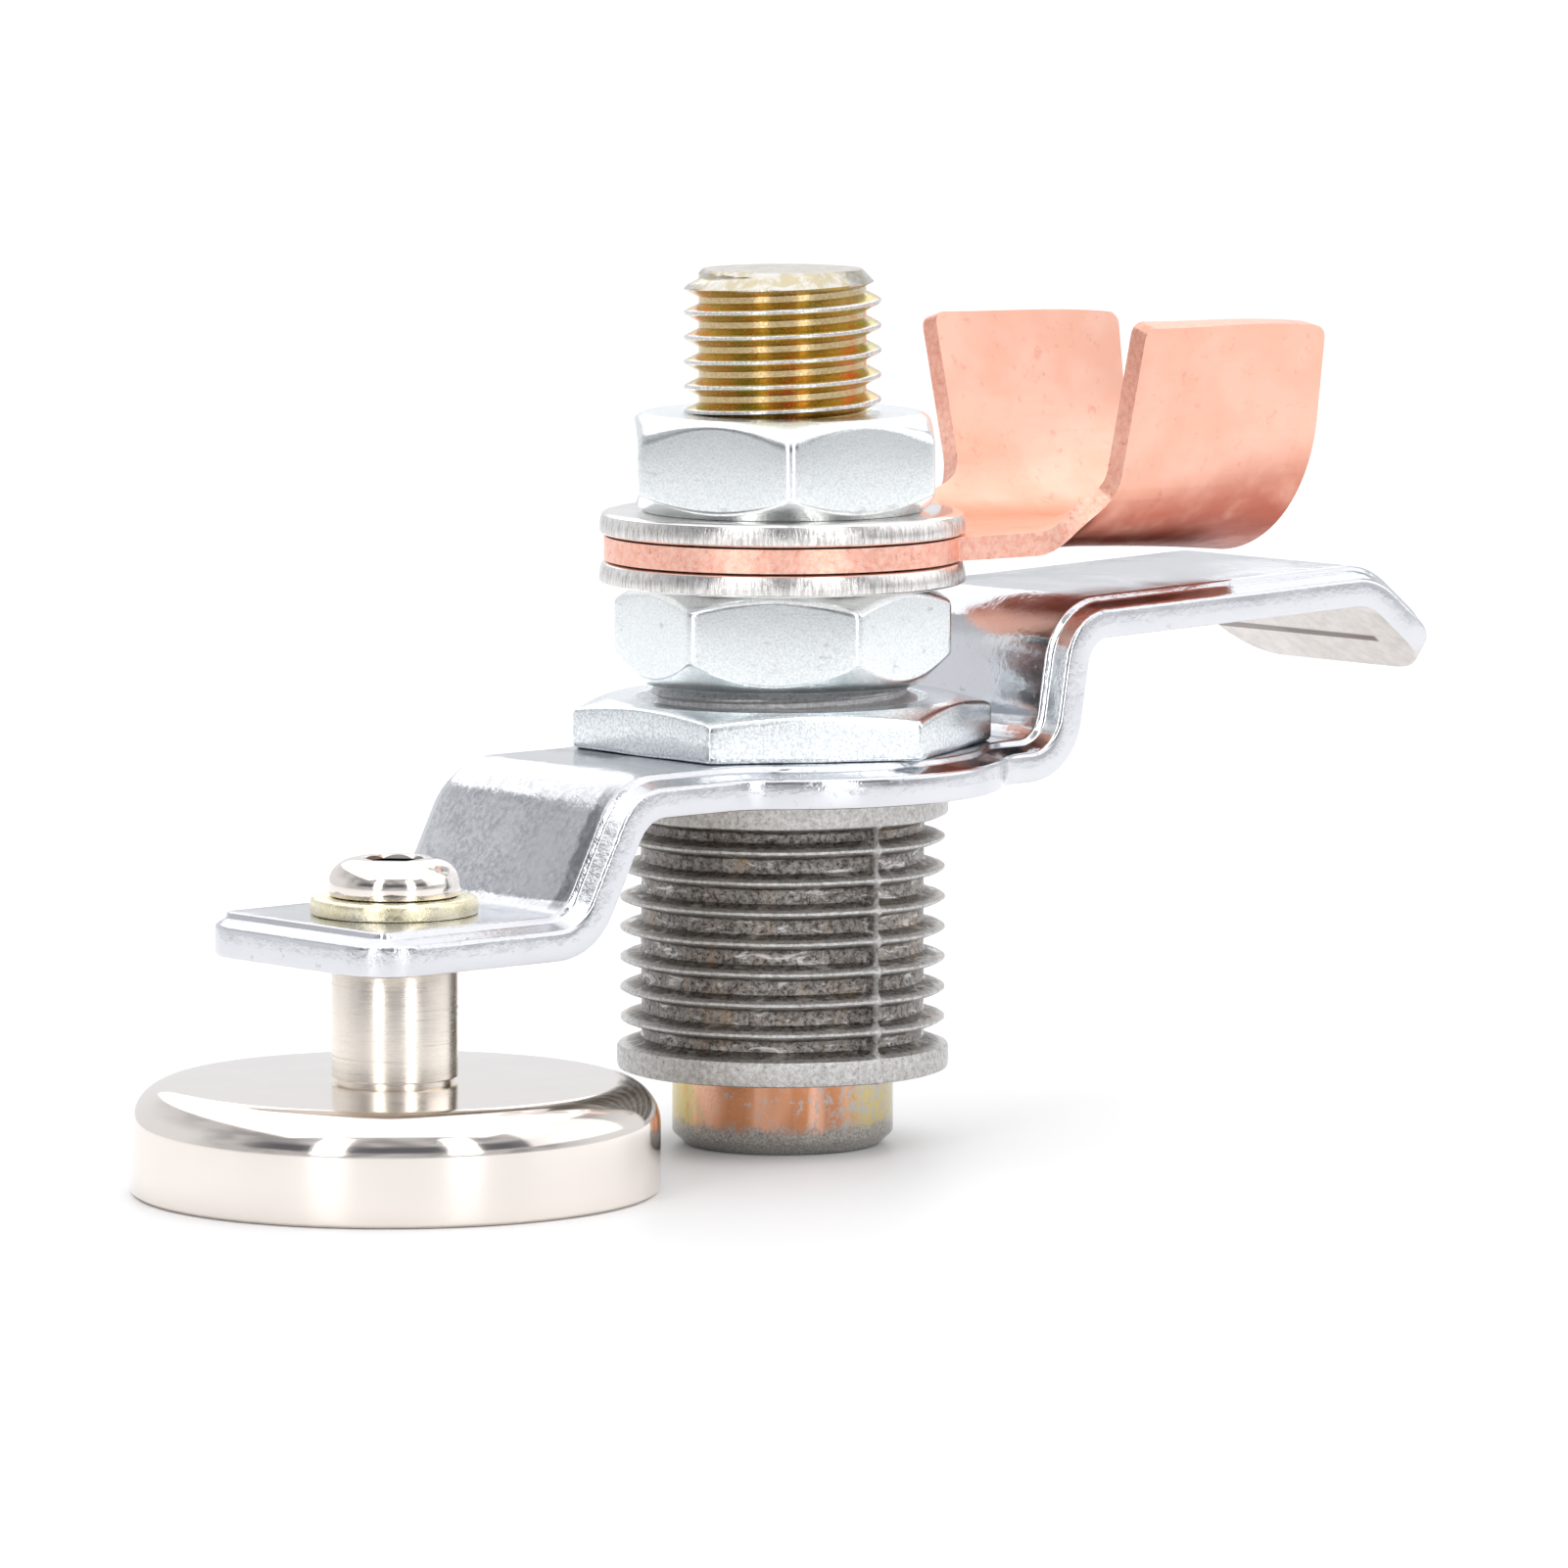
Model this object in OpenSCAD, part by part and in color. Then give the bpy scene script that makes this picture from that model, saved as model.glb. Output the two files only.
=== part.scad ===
// Magnetic welding ground clamp: a pot magnet and a sprung copper-lug contact stud on a
// stepped steel arm. Millimetres. The origin is on the stud's axis, in the plane of the
// magnet's face. +Z runs up the stud and +X runs along the arm to its handle lip.

/* [Magnet] */
// Outside diameter of the steel magnet cup
magnet_d = 42; // [36:0.5:46]
// Height of the magnet cup
magnet_h = 8.8; // [8:0.1:11]
// Radius of the cup's rounded shoulder
magnet_shoulder_r = 3.4; // [2:0.1:4.5]
// Distance from the magnet's axis to the stud's axis
magnet_reach = 40.9; // [36:0.1:46]
// Diameter of the turned post on the magnet
post_d = 10; // [9:0.1:12]

/* [Arm] */
// Width of the stamped arm
arm_w = 23.4; // [21:0.1:27]
// Thickness of the arm
arm_t = 3.4; // [2.5:0.1:4]
// Height of the underside of the arm's low end
arm_low_z = 18.7; // [17:0.1:20]
// Height of the underside of the arm's middle
arm_mid_z = 29.2; // [28:0.1:31]
// Height of the underside of the arm's high end
arm_high_z = 40.4; // [39:0.1:42]
// Distance from the stud's axis to the tip that holds the magnet
tip_reach = 52.0; // [49:0.1:56]
// Distance from the stud's axis to the far end of the handle lip
handle_reach = 64.4; // [60:0.1:66]
// Angle that the handle lip is bent down
lip_angle = 38; // [30:1:50]
// Diameter of the round boss that carries the sleeve
boss_d = 36; // [33:0.5:40]

/* [Sleeve] */
// Diameter of the sleeve's end flanges
flange_d = 27; // [26:0.1:30]
// Diameter of the sleeve's fins
fin_d = 26.4; // [25:0.1:28]
// Diameter of the sleeve between its fins
root_d = 23; // [22.6:0.1:24]
// Number of thin fins between the flanges
fin_count = 7; // [4:1:8]
// Height of the sleeve's open lower end
sleeve_bottom_z = 6.2; // [5:0.1:8]
// Height of the rim of the sleeve's threaded neck
neck_top_z = 37.8; // [37.4:0.1:40]

/* [Contact stud] */
// Diameter of the stud's thread
stud_d = 16; // [15:0.1:16.4]
// Diameter of the stud's contact foot
foot_d = 18; // [17:0.1:18.6]
// Height of the stud's top end
stud_top_z = 71.3; // [68:0.1:76]
// Travel of the sprung stud before its spring closes up
stud_travel = 5; // [2:0.5:6]

/* [Fasteners] */
// Size across the flats of the stud's two nuts
stud_nut_af = 24; // [22:0.5:27]
// Height of each of the stud's nuts
stud_nut_h = 8; // [6:0.1:9]
// Diameter of the two washers that clamp the lug
washer_d = 30; // [27:0.5:32]
// Thickness of the two washers that clamp the lug
washer_t = 1.9; // [1.5:0.1:2.5]
// Size across the flats of the nut that holds the sleeve
sleeve_nut_af = 30; // [28:0.5:32]
// Height of the nut that holds the sleeve
sleeve_nut_h = 4; // [3:0.1:4.4]

/* [Cable lug] */
// Thickness of the copper sheet
lug_t = 2.1; // [1.5:0.1:2.5]
// Diameter of the lug's round eye
eye_d = 29; // [26:0.5:30]
// Width of the neck behind the eye
lug_neck_w = 21; // [18:0.5:24]
// Distance from the stud's axis to the near edge of the wings
wing_start = 25.4; // [24:0.1:28]
// Distance from the stud's axis to the far edge of the wings
wing_end = 44.3; // [40:0.1:46]
// Height of the top edges of the wings
wing_top_z = 66.5; // [60:0.5:68]
// Outside width of the open barrel at its bend
barrel_w = 25; // [23:0.5:27]
// Angle that each wing leans outwards
wing_flare = 12.5; // [5:0.5:15]
// Direction of the lug from the arm's direction
lug_turn = -5.5; // [-30:0.5:30]

/* [Hidden] */
$fn = 96;
play = 0.05;
cut = 1;

// magnet
cup_wall = 2.4;
cup_floor = 2.8;
magnet_gap = 1.8;
magnet_recess = 0.2;
ring_bore_r = 6.5;
spigot_r = 3.5;
spigot_head_r = 5.2;
spigot_head_h = 1.2;
post_chamfer = 0.6;

// M6 button-head screw
screw_r = 3;
screw_head_r = 5.25;
screw_head_h = 3.0;
screw_edge_h = 1;
screw_tip_z = 11.5;
socket_af = 4;
socket_depth = 1.9;
screw_washer_d = 13.3;
screw_washer_t = 1.4;

// arm
arm_top_low_z = arm_low_z + arm_t;
arm_top_mid_z = arm_mid_z + arm_t;
arm_high_rise = 0.9;
lip_bend_x = 56.1;
lip_length = (handle_reach - lip_bend_x) / cos(lip_angle);
tip_corner_r = 4.5;
handle_corner_r = 5;
boss_keep_x = 13.8;
bend_steps = 8;

// sleeve
neck_r = 11;
guide_r = stud_d / 2 + 0.2;
chamber_r = 10;
low_flange_h = 2.2;
top_flange_h = 2.3;
fin_t = 0.8;
fin_first_z = 10.4;
fin_last_z = 25.15;
fin_pitch = (fin_last_z - fin_first_z) / (fin_count - 1);
rim_chamfer = 0.8;

// stud and spring
shoulder_z = 13;
foot_chamfer = 1;
end_chamfer = 1.6;
seat_t = 1.5;
seat_r = 9.7;
spring_wire = 1.5;
spring_turns = 4;
spring_r = 9.05;
spring_steps = 28;
spring_sides = 10;
spring_gap = 1.5;
spring_low_z = shoulder_z + seat_t;
chamber_top_z = spring_low_z + spring_turns * spring_wire + stud_travel + spring_gap;

// stack on the stud
lower_nut_z = neck_top_z;
lower_washer_z = lower_nut_z + stud_nut_h;
lug_z = lower_washer_z + washer_t;
upper_washer_z = lug_z + lug_t;
top_nut_z = upper_washer_z + washer_t;
// engaged threads are drawn a little under size, up to just above the top nut
engaged_play = 0.2;
thread_gap = 0.4;
free_thread_z = top_nut_z + stud_nut_h + thread_gap;
top_nut_turn = 51.5;
lower_nut_turn = 15.3;
sleeve_nut_turn = 28.6;

// lug
eye_hole_r = stud_d / 2 + 0.25;
barrel_droop = 3;
barrel_bend_r = 7.5;
neck_start = 8.5;

// ---------- shared shapes ----------

// Flat ring with square edges.
module ring(outer_r, inner_r, h) {
    difference() {
        cylinder(r = outer_r, h = h);
        translate([0, 0, -cut]) cylinder(r = inner_r, h = h + 2 * cut);
    }
}

// Hexagonal nut whose corners are turned off by a cone on the faces that are chamfered.
module hex_nut(af, h, bore_r, turn, bottom_chamfer = true) {
    face_r = af * 0.475;
    reach = af / 2 / cos(30) + 1;
    cone_h = (reach - face_r) * tan(30);
    outline = concat([[0, 0]], bottom_chamfer ? [[face_r, 0], [reach, cone_h]] : [[reach, 0]],
        [[reach, h - cone_h], [face_r, h], [0, h]]);
    difference() {
        intersection() {
            rotate([0, 0, turn]) cylinder(d = af / cos(30), h = h, $fn = 6);
            rotate_extrude() polygon(outline);
        }
        translate([0, 0, -cut]) cylinder(r = bore_r, h = h + 2 * cut);
    }
}

function unit(v) = v / norm(v);
function left_of(v) = [-v[1], v[0]];

// Points of a bend of radius r at corner b of the path a-b-c, each with its direction.
function bend(a, b, c, r, steps) =
    let (u = unit(b - a), v = unit(c - b))
    let (turn = atan2(u[0] * v[1] - u[1] * v[0], u * v))
    let (start = b - u * r * tan(abs(turn) / 2))
    let (side = sign(turn), centre = start + left_of(u) * r * side)
    let (from = atan2(u[1], u[0]))
    [for (i = [0 : steps]) let (g = from + turn * i / steps)
        [centre - side * r * [-sin(g), cos(g)], [cos(g), sin(g)]]];

// A strip of thickness t on both sides of a path of corners with bend radii.
function strip_outline(corners, radii, t, steps) =
    let (last = len(corners) - 1)
    let (first_dir = unit(corners[1] - corners[0]))
    let (last_dir = unit(corners[last] - corners[last - 1]))
    let (path = concat([[corners[0], first_dir]],
        [for (i = [1 : last - 1])
            each bend(corners[i - 1], corners[i], corners[i + 1], radii[i - 1], steps)],
        [[corners[last], last_dir]]))
    concat([for (p = path) p[0] + left_of(p[1]) * t / 2],
        [for (i = [len(path) - 1 : -1 : 0]) path[i][0] - left_of(path[i][1]) * t / 2]);

// ---------- magnet ----------

module at_magnet() { translate([-magnet_reach, 0, 0]) children(); }

module magnet_cup() {
    shoulder = [for (i = [0 : 6]) let (g = i * 15)
        [magnet_d / 2 - magnet_shoulder_r * (1 - cos(g)),
         magnet_h - magnet_shoulder_r * (1 - sin(g))]];
    outline = concat([[0, 0], [magnet_d / 2 - 0.4, 0], [magnet_d / 2, 0.4]], shoulder, [[0, magnet_h]]);
    color([0.78, 0.76, 0.72]) at_magnet() difference() {
        rotate_extrude() polygon(outline);
        translate([0, 0, -cut])
            cylinder(r = magnet_d / 2 - cup_wall, h = magnet_h - cup_floor + cut);
        cylinder(r = spigot_r, h = magnet_h + cut);
    }
}

module magnet_ring() {
    color([0.2, 0.2, 0.21]) at_magnet() translate([0, 0, magnet_recess])
        ring(magnet_d / 2 - cup_wall - magnet_gap, ring_bore_r, magnet_h - cup_floor - magnet_recess);
}

module magnet_gap_ring() {
    color([0.72, 0.6, 0.3]) at_magnet() translate([0, 0, magnet_recess])
        ring(magnet_d / 2 - cup_wall, magnet_d / 2 - cup_wall - magnet_gap,
            magnet_h - cup_floor - magnet_recess);
}

module magnet_potting() {
    color([0.12, 0.12, 0.13]) at_magnet() translate([0, 0, magnet_recess])
        cylinder(r = ring_bore_r, h = magnet_h - cup_floor - spigot_head_h - magnet_recess);
}

module magnet_post() {
    color([0.8, 0.77, 0.7]) at_magnet() difference() {
        union() {
            translate([0, 0, magnet_h]) cylinder(d = post_d, h = arm_low_z - magnet_h - post_chamfer);
            translate([0, 0, arm_low_z - post_chamfer])
                cylinder(d1 = post_d, d2 = post_d - post_chamfer, h = post_chamfer);
            translate([0, 0, magnet_h - cup_floor]) cylinder(r = spigot_r, h = cup_floor);
            translate([0, 0, magnet_h - cup_floor - spigot_head_h])
                cylinder(r = spigot_head_r, h = spigot_head_h);
        }
        translate([0, 0, screw_tip_z - cut]) cylinder(r = screw_r, h = arm_low_z);
    }
}

module button_screw() {
    head_z = arm_top_low_z + screw_washer_t;
    dome = [for (i = [0 : 8]) let (g = i * 8)
        [screw_head_r * cos(g), screw_edge_h + (screw_head_h - screw_edge_h) * sin(g) / sin(64)]];
    color([0.82, 0.82, 0.8]) at_magnet() difference() {
        union() {
            translate([0, 0, screw_tip_z]) cylinder(r = screw_r - play, h = head_z - screw_tip_z);
            translate([0, 0, head_z])
                rotate_extrude() polygon(concat([[0, 0], [screw_head_r - 0.2, 0]], dome, [[0, screw_head_h]]));
        }
        translate([0, 0, head_z + screw_head_h - socket_depth])
            cylinder(r = socket_af / 2 / cos(30), h = socket_depth + cut, $fn = 6);
    }
}

module screw_washer() {
    color([0.8, 0.78, 0.5]) at_magnet() translate([0, 0, arm_top_low_z])
        ring(screw_washer_d / 2, screw_r + 0.3, screw_washer_t);
}

// ---------- arm ----------

// Plan of the arm: a bar with rounded corners.
module arm_plan() {
    bar_end = handle_reach + arm_t / 2 * sin(lip_angle);
    difference() {
        translate([-tip_reach, -arm_w / 2]) square([tip_reach + bar_end, arm_w]);
        for (side = [-1, 1]) {
            translate([-tip_reach, side * arm_w / 2]) corner_waste(tip_corner_r, 1, -side);
            translate([bar_end, side * arm_w / 2]) corner_waste(handle_corner_r, -1, -side);
        }
    }
}

// What a rounded corner leaves of its square; x_side and y_side point into the bar.
module corner_waste(r, x_side, y_side) {
    difference() {
        translate([x_side * r / 2 - x_side * 0.01, y_side * r / 2 - y_side * 0.01])
            square(r + 0.02, center = true);
        translate([x_side * r, y_side * r]) circle(r = r);
    }
}

module support_arm() {
    half = arm_t / 2;
    corners = [
        [-tip_reach, arm_low_z + half],
        [-30.9, arm_low_z + half],
        [-25.3, arm_mid_z + half],
        [20.2, arm_mid_z + half],
        [22.2, arm_high_z + half],
        [lip_bend_x, arm_high_z + half + arm_high_rise],
        [handle_reach, arm_high_z + half + arm_high_rise - lip_length * sin(lip_angle)]
    ];
    radii = [4.4, 4.6, 3.9, 4, 6];
    color([0.86, 0.87, 0.89]) difference() {
        union() {
            intersection() {
                rotate([90, 0, 0]) translate([0, 0, -arm_w / 2])
                    linear_extrude(arm_w) polygon(strip_outline(corners, radii, arm_t, bend_steps));
                translate([0, 0, arm_low_z - 2 * cut]) linear_extrude(arm_high_z) arm_plan();
            }
            translate([0, 0, arm_mid_z]) intersection() {
                cylinder(d = boss_d, h = arm_t);
                translate([-boss_keep_x, -boss_d, -cut])
                    cube([2 * boss_keep_x, 2 * boss_d, arm_t + 2 * cut]);
            }
        }
        translate([0, 0, arm_mid_z - cut]) cylinder(r = neck_r + play, h = arm_t + 2 * cut);
        at_magnet() translate([0, 0, arm_low_z - cut])
            cylinder(r = screw_r + 0.25, h = arm_t + 2 * cut);
    }
}

// ---------- sleeve ----------

module contact_sleeve() {
    color([0.62, 0.6, 0.57]) difference() {
        union() {
            translate([0, 0, sleeve_bottom_z]) cylinder(d = root_d, h = arm_mid_z - sleeve_bottom_z);
            translate([0, 0, sleeve_bottom_z]) cylinder(d = flange_d, h = low_flange_h);
            translate([0, 0, arm_mid_z - top_flange_h]) cylinder(d = flange_d, h = top_flange_h);
            for (i = [0 : fin_count - 1]) translate([0, 0, fin_first_z + i * fin_pitch - fin_t / 2])
                cylinder(d = fin_d, h = fin_t);
            translate([0, 0, arm_mid_z]) cylinder(r = neck_r, h = neck_top_z - arm_mid_z - rim_chamfer);
            translate([0, 0, neck_top_z - rim_chamfer])
                cylinder(r1 = neck_r, r2 = neck_r - rim_chamfer, h = rim_chamfer);
        }
        translate([0, 0, sleeve_bottom_z - cut])
            cylinder(r = chamber_r, h = chamber_top_z - sleeve_bottom_z + cut);
        cylinder(r = guide_r, h = neck_top_z + cut);
    }
}

module sleeve_nut() {
    color([0.8, 0.82, 0.85]) translate([0, 0, arm_top_mid_z])
        hex_nut(sleeve_nut_af, sleeve_nut_h, neck_r + play, sleeve_nut_turn, bottom_chamfer = false);
}

// ---------- contact stud and its spring ----------

module contact_stud() {
    color([0.72, 0.68, 0.5]) union() {
        cylinder(d1 = foot_d - 2 * foot_chamfer, d2 = foot_d, h = foot_chamfer);
        translate([0, 0, foot_chamfer]) cylinder(d = foot_d, h = shoulder_z - foot_chamfer);
        cylinder(r = stud_d / 2 - engaged_play, h = stud_top_z - end_chamfer);
        translate([0, 0, free_thread_z])
            cylinder(d = stud_d, h = stud_top_z - end_chamfer - free_thread_z);
        translate([0, 0, stud_top_z - end_chamfer])
            cylinder(d1 = stud_d, d2 = stud_d - 2 * end_chamfer, h = end_chamfer);
    }
}

module spring_seat_washer() {
    color([0.7, 0.71, 0.72]) translate([0, 0, shoulder_z])
        ring(seat_r, stud_d / 2 + 0.15, seat_t);
}

// A round wire wound as a helix between the seat and the top of the sleeve's chamber.
module contact_spring() {
    rings = spring_turns * spring_steps;
    low = spring_low_z + spring_wire / 2;
    rise = chamber_top_z - spring_low_z - spring_wire;
    points = [for (i = [0 : rings], j = [0 : spring_sides - 1])
        let (turn = 360 * i / spring_steps, g = 360 * j / spring_sides)
        let (r = spring_r + spring_wire / 2 * cos(g))
        [r * cos(turn), r * sin(turn), low + rise * i / rings + spring_wire / 2 * sin(g)]];
    sides = [for (i = [0 : rings - 1], j = [0 : spring_sides - 1])
        let (k = (j + 1) % spring_sides, a = i * spring_sides, b = a + spring_sides)
        [a + j, b + j, b + k, a + k]];
    ends = [[for (j = [0 : spring_sides - 1]) j],
        [for (j = [spring_sides - 1 : -1 : 0]) rings * spring_sides + j]];
    color([0.45, 0.46, 0.48]) polyhedron(points, concat(sides, ends), convexity = 8);
}

// ---------- stack that clamps the lug ----------

module lower_nut() {
    color([0.82, 0.86, 0.9]) translate([0, 0, lower_nut_z])
        hex_nut(stud_nut_af, stud_nut_h, stud_d / 2, lower_nut_turn);
}

module lower_washer() {
    color([0.75, 0.73, 0.7]) translate([0, 0, lower_washer_z])
        ring(washer_d / 2, stud_d / 2 + 0.4, washer_t);
}

module upper_washer() {
    color([0.75, 0.73, 0.7]) translate([0, 0, upper_washer_z])
        ring(washer_d / 2, stud_d / 2 + 0.4, washer_t);
}

module top_nut() {
    color([0.82, 0.86, 0.9]) translate([0, 0, top_nut_z])
        hex_nut(stud_nut_af, stud_nut_h, stud_d / 2, top_nut_turn);
}

// Cross-section of the open barrel on its floor: two bends and two leaning wings.
function barrel_section() =
    let (mid_r = barrel_bend_r - lug_t / 2, lean = 90 - wing_flare)
    let (bend_x = barrel_w / 2 - barrel_bend_r)
    let (wing_base = [bend_x + mid_r * sin(lean), lug_t / 2 + mid_r * (1 - cos(lean))])
    let (wing_run = (wing_top_z - lug_z - wing_base[1]) / cos(wing_flare))
    let (wing_tip = wing_base + wing_run * [sin(wing_flare), cos(wing_flare)])
    let (half_path = concat([[[0, lug_t / 2], 0]],
        [for (i = [0 : bend_steps]) let (g = lean * i / bend_steps)
            [[bend_x + mid_r * sin(g), lug_t / 2 + mid_r * (1 - cos(g))], g]],
        [[wing_tip, lean]]))
    let (last = len(half_path) - 1)
    let (inner = [for (p = half_path) p[0] + lug_t / 2 * [-sin(p[1]), cos(p[1])]])
    let (outer = [for (p = half_path) p[0] - lug_t / 2 * [-sin(p[1]), cos(p[1])]])
    concat([for (i = [last : -1 : 1]) [-outer[i][0], outer[i][1]]], outer,
        [for (i = [last : -1 : 0]) inner[i]], [for (i = [1 : last]) [-inner[i][0], inner[i][1]]]);

module cable_lug() {
    floor_w = barrel_w - 2 * barrel_bend_r;
    shoulder_x = wing_start - barrel_bend_r;
    color([0.85, 0.52, 0.38]) rotate([0, 0, lug_turn]) difference() {
        union() {
            translate([0, 0, lug_z]) cylinder(d = eye_d, h = lug_t);
            translate([0, 0, lug_z]) linear_extrude(lug_t) polygon([
                [neck_start, -lug_neck_w / 2], [shoulder_x, -lug_neck_w / 2],
                [wing_start + 0.2, -floor_w / 2], [wing_start + 0.2, floor_w / 2],
                [shoulder_x, lug_neck_w / 2], [neck_start, lug_neck_w / 2]]);
            translate([wing_start, 0, lug_z]) rotate([0, barrel_droop, 0]) rotate([90, 0, 90])
                linear_extrude((wing_end - wing_start) / cos(barrel_droop)) polygon(barrel_section());
        }
        translate([0, 0, lug_z - cut]) cylinder(r = eye_hole_r, h = lug_t + 2 * cut);
    }
}

magnet_cup();
magnet_ring();
magnet_gap_ring();
magnet_potting();
magnet_post();
button_screw();
screw_washer();
support_arm();
contact_sleeve();
sleeve_nut();
contact_stud();
spring_seat_washer();
contact_spring();
lower_nut();
lower_washer();
cable_lug();
upper_washer();
top_nut();
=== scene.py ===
"""Looks of the magnetic welding ground clamp: detailed meshes and materials round the CAD frame.

Lengths in the piece functions are millimetres in the clamp's own frame, and become metres when
a mesh is made. The stud's axis is the Z axis, the arm runs along X, and the work is at z = 0.
"""
import bisect
import bmesh
import bpy
from math import asin, atan, atan2, ceil, copysign, cos, degrees, exp, pi, radians, sin, sqrt, tan
from mathutils import Matrix, Vector, noise


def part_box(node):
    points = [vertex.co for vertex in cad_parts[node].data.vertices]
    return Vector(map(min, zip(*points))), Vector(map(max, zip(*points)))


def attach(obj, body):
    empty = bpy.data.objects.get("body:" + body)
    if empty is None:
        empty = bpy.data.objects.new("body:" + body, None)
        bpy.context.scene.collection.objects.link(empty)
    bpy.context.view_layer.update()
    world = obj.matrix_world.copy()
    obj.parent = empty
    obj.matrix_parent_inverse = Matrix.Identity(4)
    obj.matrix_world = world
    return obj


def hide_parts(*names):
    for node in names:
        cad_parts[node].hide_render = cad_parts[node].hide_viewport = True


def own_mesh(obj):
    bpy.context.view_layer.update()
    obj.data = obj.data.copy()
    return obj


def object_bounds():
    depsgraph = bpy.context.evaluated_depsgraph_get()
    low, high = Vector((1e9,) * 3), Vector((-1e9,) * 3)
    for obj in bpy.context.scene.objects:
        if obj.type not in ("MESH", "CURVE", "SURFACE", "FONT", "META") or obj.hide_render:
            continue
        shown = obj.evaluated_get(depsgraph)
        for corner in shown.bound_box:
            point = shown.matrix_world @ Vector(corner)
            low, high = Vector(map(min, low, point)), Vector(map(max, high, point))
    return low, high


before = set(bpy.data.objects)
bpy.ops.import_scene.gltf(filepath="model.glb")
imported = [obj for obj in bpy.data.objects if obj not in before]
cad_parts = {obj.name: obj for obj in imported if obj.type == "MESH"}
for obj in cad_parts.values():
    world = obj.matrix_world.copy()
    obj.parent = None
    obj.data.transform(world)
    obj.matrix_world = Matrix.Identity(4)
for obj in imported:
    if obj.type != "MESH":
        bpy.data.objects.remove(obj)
cad_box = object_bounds()
MM = 0.001
TAU = 2 * pi
TINY = 1e-6
FRAME, PLUNGER, TERMINAL = "clamp_frame", "contact_plunger", "cable_terminal"


def span(node):
    """A CAD node's lowest and highest corners in millimetres."""
    low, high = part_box(node)
    return low / MM, high / MM


def span_radius(node):
    """Half of a round CAD node's width in millimetres."""
    low, high = span(node)
    return (high.x - low.x) / 2


MAGNET_AXIS = tuple(((span("magnet_cup")[0] + span("magnet_cup")[1]) / 2)[:2])


def smooth(t):
    """An S curve from 0 to 1, level outside that range."""
    t = min(1.0, max(0.0, t))
    return t * t * (3 - 2 * t)


# ---- mesh tools

def make_object(name, bm, sharp_deg=30):
    """Turns a bmesh in millimetres into a smooth-shaded object in metres."""
    bmesh.ops.scale(bm, vec=(MM, MM, MM), verts=bm.verts)
    bmesh.ops.recalc_face_normals(bm, faces=bm.faces)
    mesh = bpy.data.meshes.new(name)
    bm.to_mesh(mesh)
    bm.free()
    mesh.shade_smooth()
    mesh.set_sharp_from_angle(angle=radians(sharp_deg))
    piece = bpy.data.objects.new(name, mesh)
    bpy.context.collection.objects.link(piece)
    return piece


def soften(points, radius, steps=3):
    """A closed outline with rounded corners. A third value is that corner's own radius.

    Every corner gives steps + 1 points, so that outlines of one kind match point by point.
    """
    out = []
    for i, corner in enumerate(points):
        r = corner[2] if len(corner) > 2 else radius
        a, b, c = (Vector(p[:2]) for p in (points[i - 1], corner, points[(i + 1) % len(points)]))
        u, v = a - b, c - b
        if r <= 0 or u.length < TINY or v.length < TINY:
            out += [(b.x, b.y)] * (steps + 1)
            continue
        half = u.angle(v) / 2
        # the rounding takes less than half of either side
        cut = min(r / max(tan(half), 1e-3), 0.45 * u.length, 0.45 * v.length)
        p, q = b + u.normalized() * cut, b + v.normalized() * cut
        for k in range(steps + 1):
            t = k / steps
            m = p * (1 - t) ** 2 + b * 2 * t * (1 - t) + q * t * t
            out.append((m.x, m.y))
    return out


def arc_points(cx, cy, r, start, end, steps):
    """Points along an arc from start to end degrees."""
    angles = [radians(start + (end - start) * k / steps) for k in range(steps + 1)]
    return [(cx + r * cos(a), cy + r * sin(a)) for a in angles]


def ripple(angle, scale, z):
    """Noise that runs round an axis without a seam."""
    return noise.noise(Vector((cos(angle) * scale, sin(angle) * scale, z)))


def soft_ring(inner, outer, low, high, radius):
    """The outline of a flat ring with rounded corners."""
    return soften([(inner, low), (outer, low), (outer, high), (inner, high)], radius)


def turned(node, suffix, body, material, profile, angles, centre=(0.0, 0.0), thread=(0, 0),
           closed=True):
    """Makes a body of revolution and puts it in place of a CAD node.

    profile is a list of (r, z), or a function of the angle that gives one. thread = (first row,
    number of rows) names rows on a right-hand helix, which join the next turn's rows.
    """
    if isinstance(angles, int):
        angles = [TAU * i / angles for i in range(angles)]
    outlines = [profile(a) if callable(profile) else profile for a in angles]
    bm = bmesh.new()
    grid = [[bm.verts.new((centre[0] + r * cos(a), centre[1] + r * sin(a), z)) for r, z in outline]
            for a, outline in zip(angles, outlines)]
    count = len(outlines[0])
    first, end = thread[0], sum(thread)

    def across(j):
        """The row that row j meets where the last column joins the first."""
        return min(j + len(THREAD_FORM), end - 1) if first <= j < end else j

    for column, following in zip(grid, grid[1:] + grid[:1]):
        for j in range(count if closed else count - 1):
            k = (j + 1) % count
            jj, kk = (across(j), across(k)) if following is grid[0] else (j, k)
            corners = [column[j], following[jj], following[kk], column[k]]
            bm.faces.new(corners if jj != kk else corners[:2] + corners[3:])
    bmesh.ops.remove_doubles(bm, verts=bm.verts, dist=2e-4)
    bmesh.ops.dissolve_degenerate(bm, edges=bm.edges, dist=1e-4)
    place(make_object(node + "_" + suffix, bm), node, body, material)


# One pitch of a thread: share of the pitch, and share of the depth.
RISE = [(0.0, 0.0), (0.06, 0.0), (0.12, 0.0), (0.15, 0.06), (0.22, 0.29), (0.29, 0.52), (0.36, 0.75),
        (0.42, 0.95), (0.455, 1.0), (0.5, 1.0)]
THREAD_FORM = RISE + [(1 - share, height) for share, height in reversed(RISE[1:-1])]


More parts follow.
